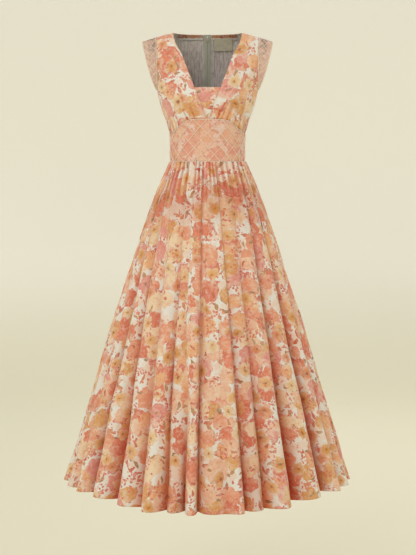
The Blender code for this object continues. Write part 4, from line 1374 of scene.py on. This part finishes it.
def armhole_trims(braid, net):
    for behind, face_word in ((False, "front"), (True, "back")):
        seam = armhole_seam(behind)
        along = run_length(seam, 0)
        length = along[-1]
        place = trim_place(seam, along, behind)
        share, u = np.meshgrid(np.linspace(0, 1, 17), np.linspace(0, length, 61))
        flat = np.stack([u, share * trim_edge(u, length)], axis=-1)
        sheet, _ = place(flat, 0.9)
        # painted shade mask for the net: toward the shoulder and the seam side
        shade = ramp(0.45, 0.85, u / length) * (1 - ramp(0.45, 0.8, share))
        bars = lattice_lines(
            TRIM_DIAMOND,
            1.0,
            length - 1.0,
            lambda u: 0 * u + 1.0,
            lambda u: trim_edge(u, length) - 1.5,
            origin=(length - TRIM_FIRST_CROSSING - TRIM_DIAMOND[0], TRIM_CROSSING),
        )
        us = np.arange(0.5, length, 1.6)
        edges = [
            np.stack([us, v], axis=-1) for v in (0 * us + 1.6, trim_edge(us, length) - 1.6)
        ]
        strands = braids(bars, place, 0.5, TRIM_BAR, step=-0.3)
        strands += braids(edges, place, 0.5, TRIM_BORDER, twist=4.0)
        for side, label in SIDES:
            cut = placed_cut(flat, side, (0.0, NET_CUT_STEP * (side + 2 * behind)))
            name = f"armhole_net_{face_word}_{label}"
            looks = {"slot": "lattice_lace", "thick": NET_THICK, "shade": shade}
            shell(name, mirrored(sheet, side), cut, (net, net), **looks)
            turned = [
                (mirrored(points, side), [face[::side] for face in faces])
                for points, faces in strands
            ]
            node = f"armhole_trim_{face_word}_{label}"
            joined(f"armhole_lattice_{face_word}_{label}", turned, braid, node)


# ---------------------------------------------------------------- label


LABEL_ACROSS = (21, 81)
LABEL_UP = (-50, -10)
LABEL_SINK = 2.0
LABEL_THICK = 0.4


def neck_label(satin):
    x, height = np.meshgrid(np.linspace(*LABEL_ACROSS, 31), np.linspace(*LABEL_UP, 21))
    grid = over_form(turn_of(x, height, behind=True), height, -CAD_CLOTH - LABEL_SINK)
    flat = np.stack([x, height], axis=-1)
    cloth("neck_label", grid, flat, (satin, satin), slot="label", thick=LABEL_THICK)


# ---------------------------------------------------------------- studio


FLOOR = HEM - 600
BOWL_RADIUS = 6200
BOWL_BEND = 1800
BOWL_HIGH = 4200
PAPER_GLOW = (1.0, 0.95, 0.74, 1.0)
PAPER_GLOW_STRENGTH = 0.093
WORLD_STRENGTH = 0.63
LAMP_AIM = (0, 0, -0.7)
LAMPS = (
    # name, place and size in metres, power, colour
    ("key_light", (-1.5, -3.4, 1.6), (1.4, 1.8), 38, (1.0, 0.97, 0.93)),
    ("fill_light", (3.0, -3.0, 0.2), (2.4, 2.4), 4, (1.0, 0.97, 0.94)),
    ("back_light", (1.6, 3.4, 1.6), (1.6, 1.8), 40, (1.0, 0.97, 0.93)),
)
CAMERA_AT = (0, -3.8, -0.407)
CAMERA_DOWN = 3.9
CAMERA_LENS = 77.7
CAMERA_SHIFT = (0.0009, -0.06)


def studio():
    """Pale floor that curves up into a round backdrop, soft light and the photograph's camera."""
    graph = Graph("studio_paper")
    place = Wire(graph, graph.node("TexCoord", {}).outputs["Object"])
    made = graph.node("TexNoise", {"Vector": place, "Scale": 0.6, "Detail": 1.0})
    tone = Wire(graph, made.outputs[0])
    color = graph.mix(paint(250, 250, 246), tone, paint(247, 247, 242))
    low = place.parts()[2].rise(FLOOR * MM + 0.9, FLOOR * MM)
    paper = graph.finish(color.mix(low, paint(228, 226, 208)), 0.95)
    graph.shader.inputs["Emission Color"].default_value = PAPER_GLOW
    graph.shader.inputs["Emission Strength"].default_value = PAPER_GLOW_STRENGTH
    bend = np.linspace(0, math.pi / 2, 17)
    radius = BOWL_RADIUS - BOWL_BEND + BOWL_BEND * np.sin(bend)
    height = FLOOR + BOWL_BEND * (1 - np.cos(bend))
    radius = np.concatenate([[40, 1500, 3000], radius, [BOWL_RADIUS]])
    height = np.concatenate([[FLOOR] * 3, height, [BOWL_HIGH]])
    angle = np.linspace(0, 2 * np.pi, 129)[:-1]
    rings = np.stack(np.broadcast_arrays(
        radius[:, None] * np.cos(angle), radius[:, None] * np.sin(angle), height[:, None]
    ), axis=-1)
    index = np.arange(rings[..., 0].size).reshape(rings.shape[:-1])
    bowl_and_lid = tube_faces(index)
    new_object("studio_bowl", rings.reshape(-1, 3), bowl_and_lid[:-1], [paper])

    world = bpy.data.worlds.new("studio_world")
    bpy.context.scene.world = world
    world.use_nodes = True
    backdrop = world.node_tree.nodes["Background"]
    backdrop.inputs[0].default_value = paint(252, 246, 238)
    backdrop.inputs[1].default_value = WORLD_STRENGTH

    for name, at, size, power, color in LAMPS:
        light = bpy.data.lights.new(name, "AREA")
        light.shape = "RECTANGLE"
        light.size, light.size_y = size
        light.energy = power
        light.color = color
        thing = bpy.data.objects.new(name, light)
        bpy.context.scene.collection.objects.link(thing)
        thing.location = at
        thing.visible_camera = False
        way = Vector(LAMP_AIM) - thing.location
        thing.rotation_euler = way.to_track_quat("-Z", "Y").to_euler()

    camera_data = bpy.data.cameras.new("camera")
    camera = bpy.data.objects.new("camera", camera_data)
    bpy.context.scene.collection.objects.link(camera)
    camera.location = CAMERA_AT
    camera.rotation_euler = (math.radians(90 - CAMERA_DOWN), 0, 0)
    camera_data.sensor_width = 36
    camera_data.lens = CAMERA_LENS
    camera_data.shift_x, camera_data.shift_y = CAMERA_SHIFT
    bpy.context.scene.camera = camera
    bpy.context.scene.view_settings.view_transform = "Standard"


def main():
    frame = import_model()
    print_cloth = print_material("floral_print")
    yoke_cloth = print_material("yoke_print", paint(244, 188, 170), 0.5, speckle=0.4)
    reverse = reverse_material()
    braid = plain_material("lattice_braid", paint(250, 230, 214), paint(242, 208, 190), 0.004)
    trim_braid = plain_material("trim_braid", paint(240, 226, 214), paint(228, 200, 184), 0.004)
    tape = plain_material("zip_tape_weave", paint(178, 180, 168), paint(166, 168, 158), 0.002)
    nylon = plain_material("zip_coil_nylon", paint(168, 170, 160), paint(156, 158, 150), 0.002, 0.5)
    satin = plain_material("label_satin", paint(186, 180, 164), paint(176, 170, 154), 0.01, 0.5)
    thread = plain_material("peach_thread", paint(236, 206, 180), paint(222, 186, 158), 0.002)
    dark_thread = plain_material("mauve_thread", paint(128, 92, 90), paint(112, 80, 80), 0.002)
    metal = plain_material(
        "zip_nickel", paint(196, 192, 182), paint(180, 176, 168), 0.003, 0.32, 0.00004, 1.0
    )
    skirt(print_cloth, reverse, thread)
    bodice_fronts(print_cloth, reverse, thread)
    bodice_backs(print_cloth, shirred_reverse_material(), thread)
    neck_inset(print_cloth, reverse, thread)
    back_facings(facing_material())
    zip_coil(nylon)
    tape_stitches(thread, dark_thread)
    midriff(yoke_cloth, reverse)
    midriff_lattices(braid)
    armhole_trims(trim_braid, net_material())
    neck_label(satin)
    for node, material in (
        ("zip_tape_right", tape),
        ("zip_tape_left", tape),
        ("zip_slider", metal),
        ("zip_pull_tab", metal),
    ):
        for slot in frame["nodes"][node].material_slots:
            slot.material = material
    studio()


main()
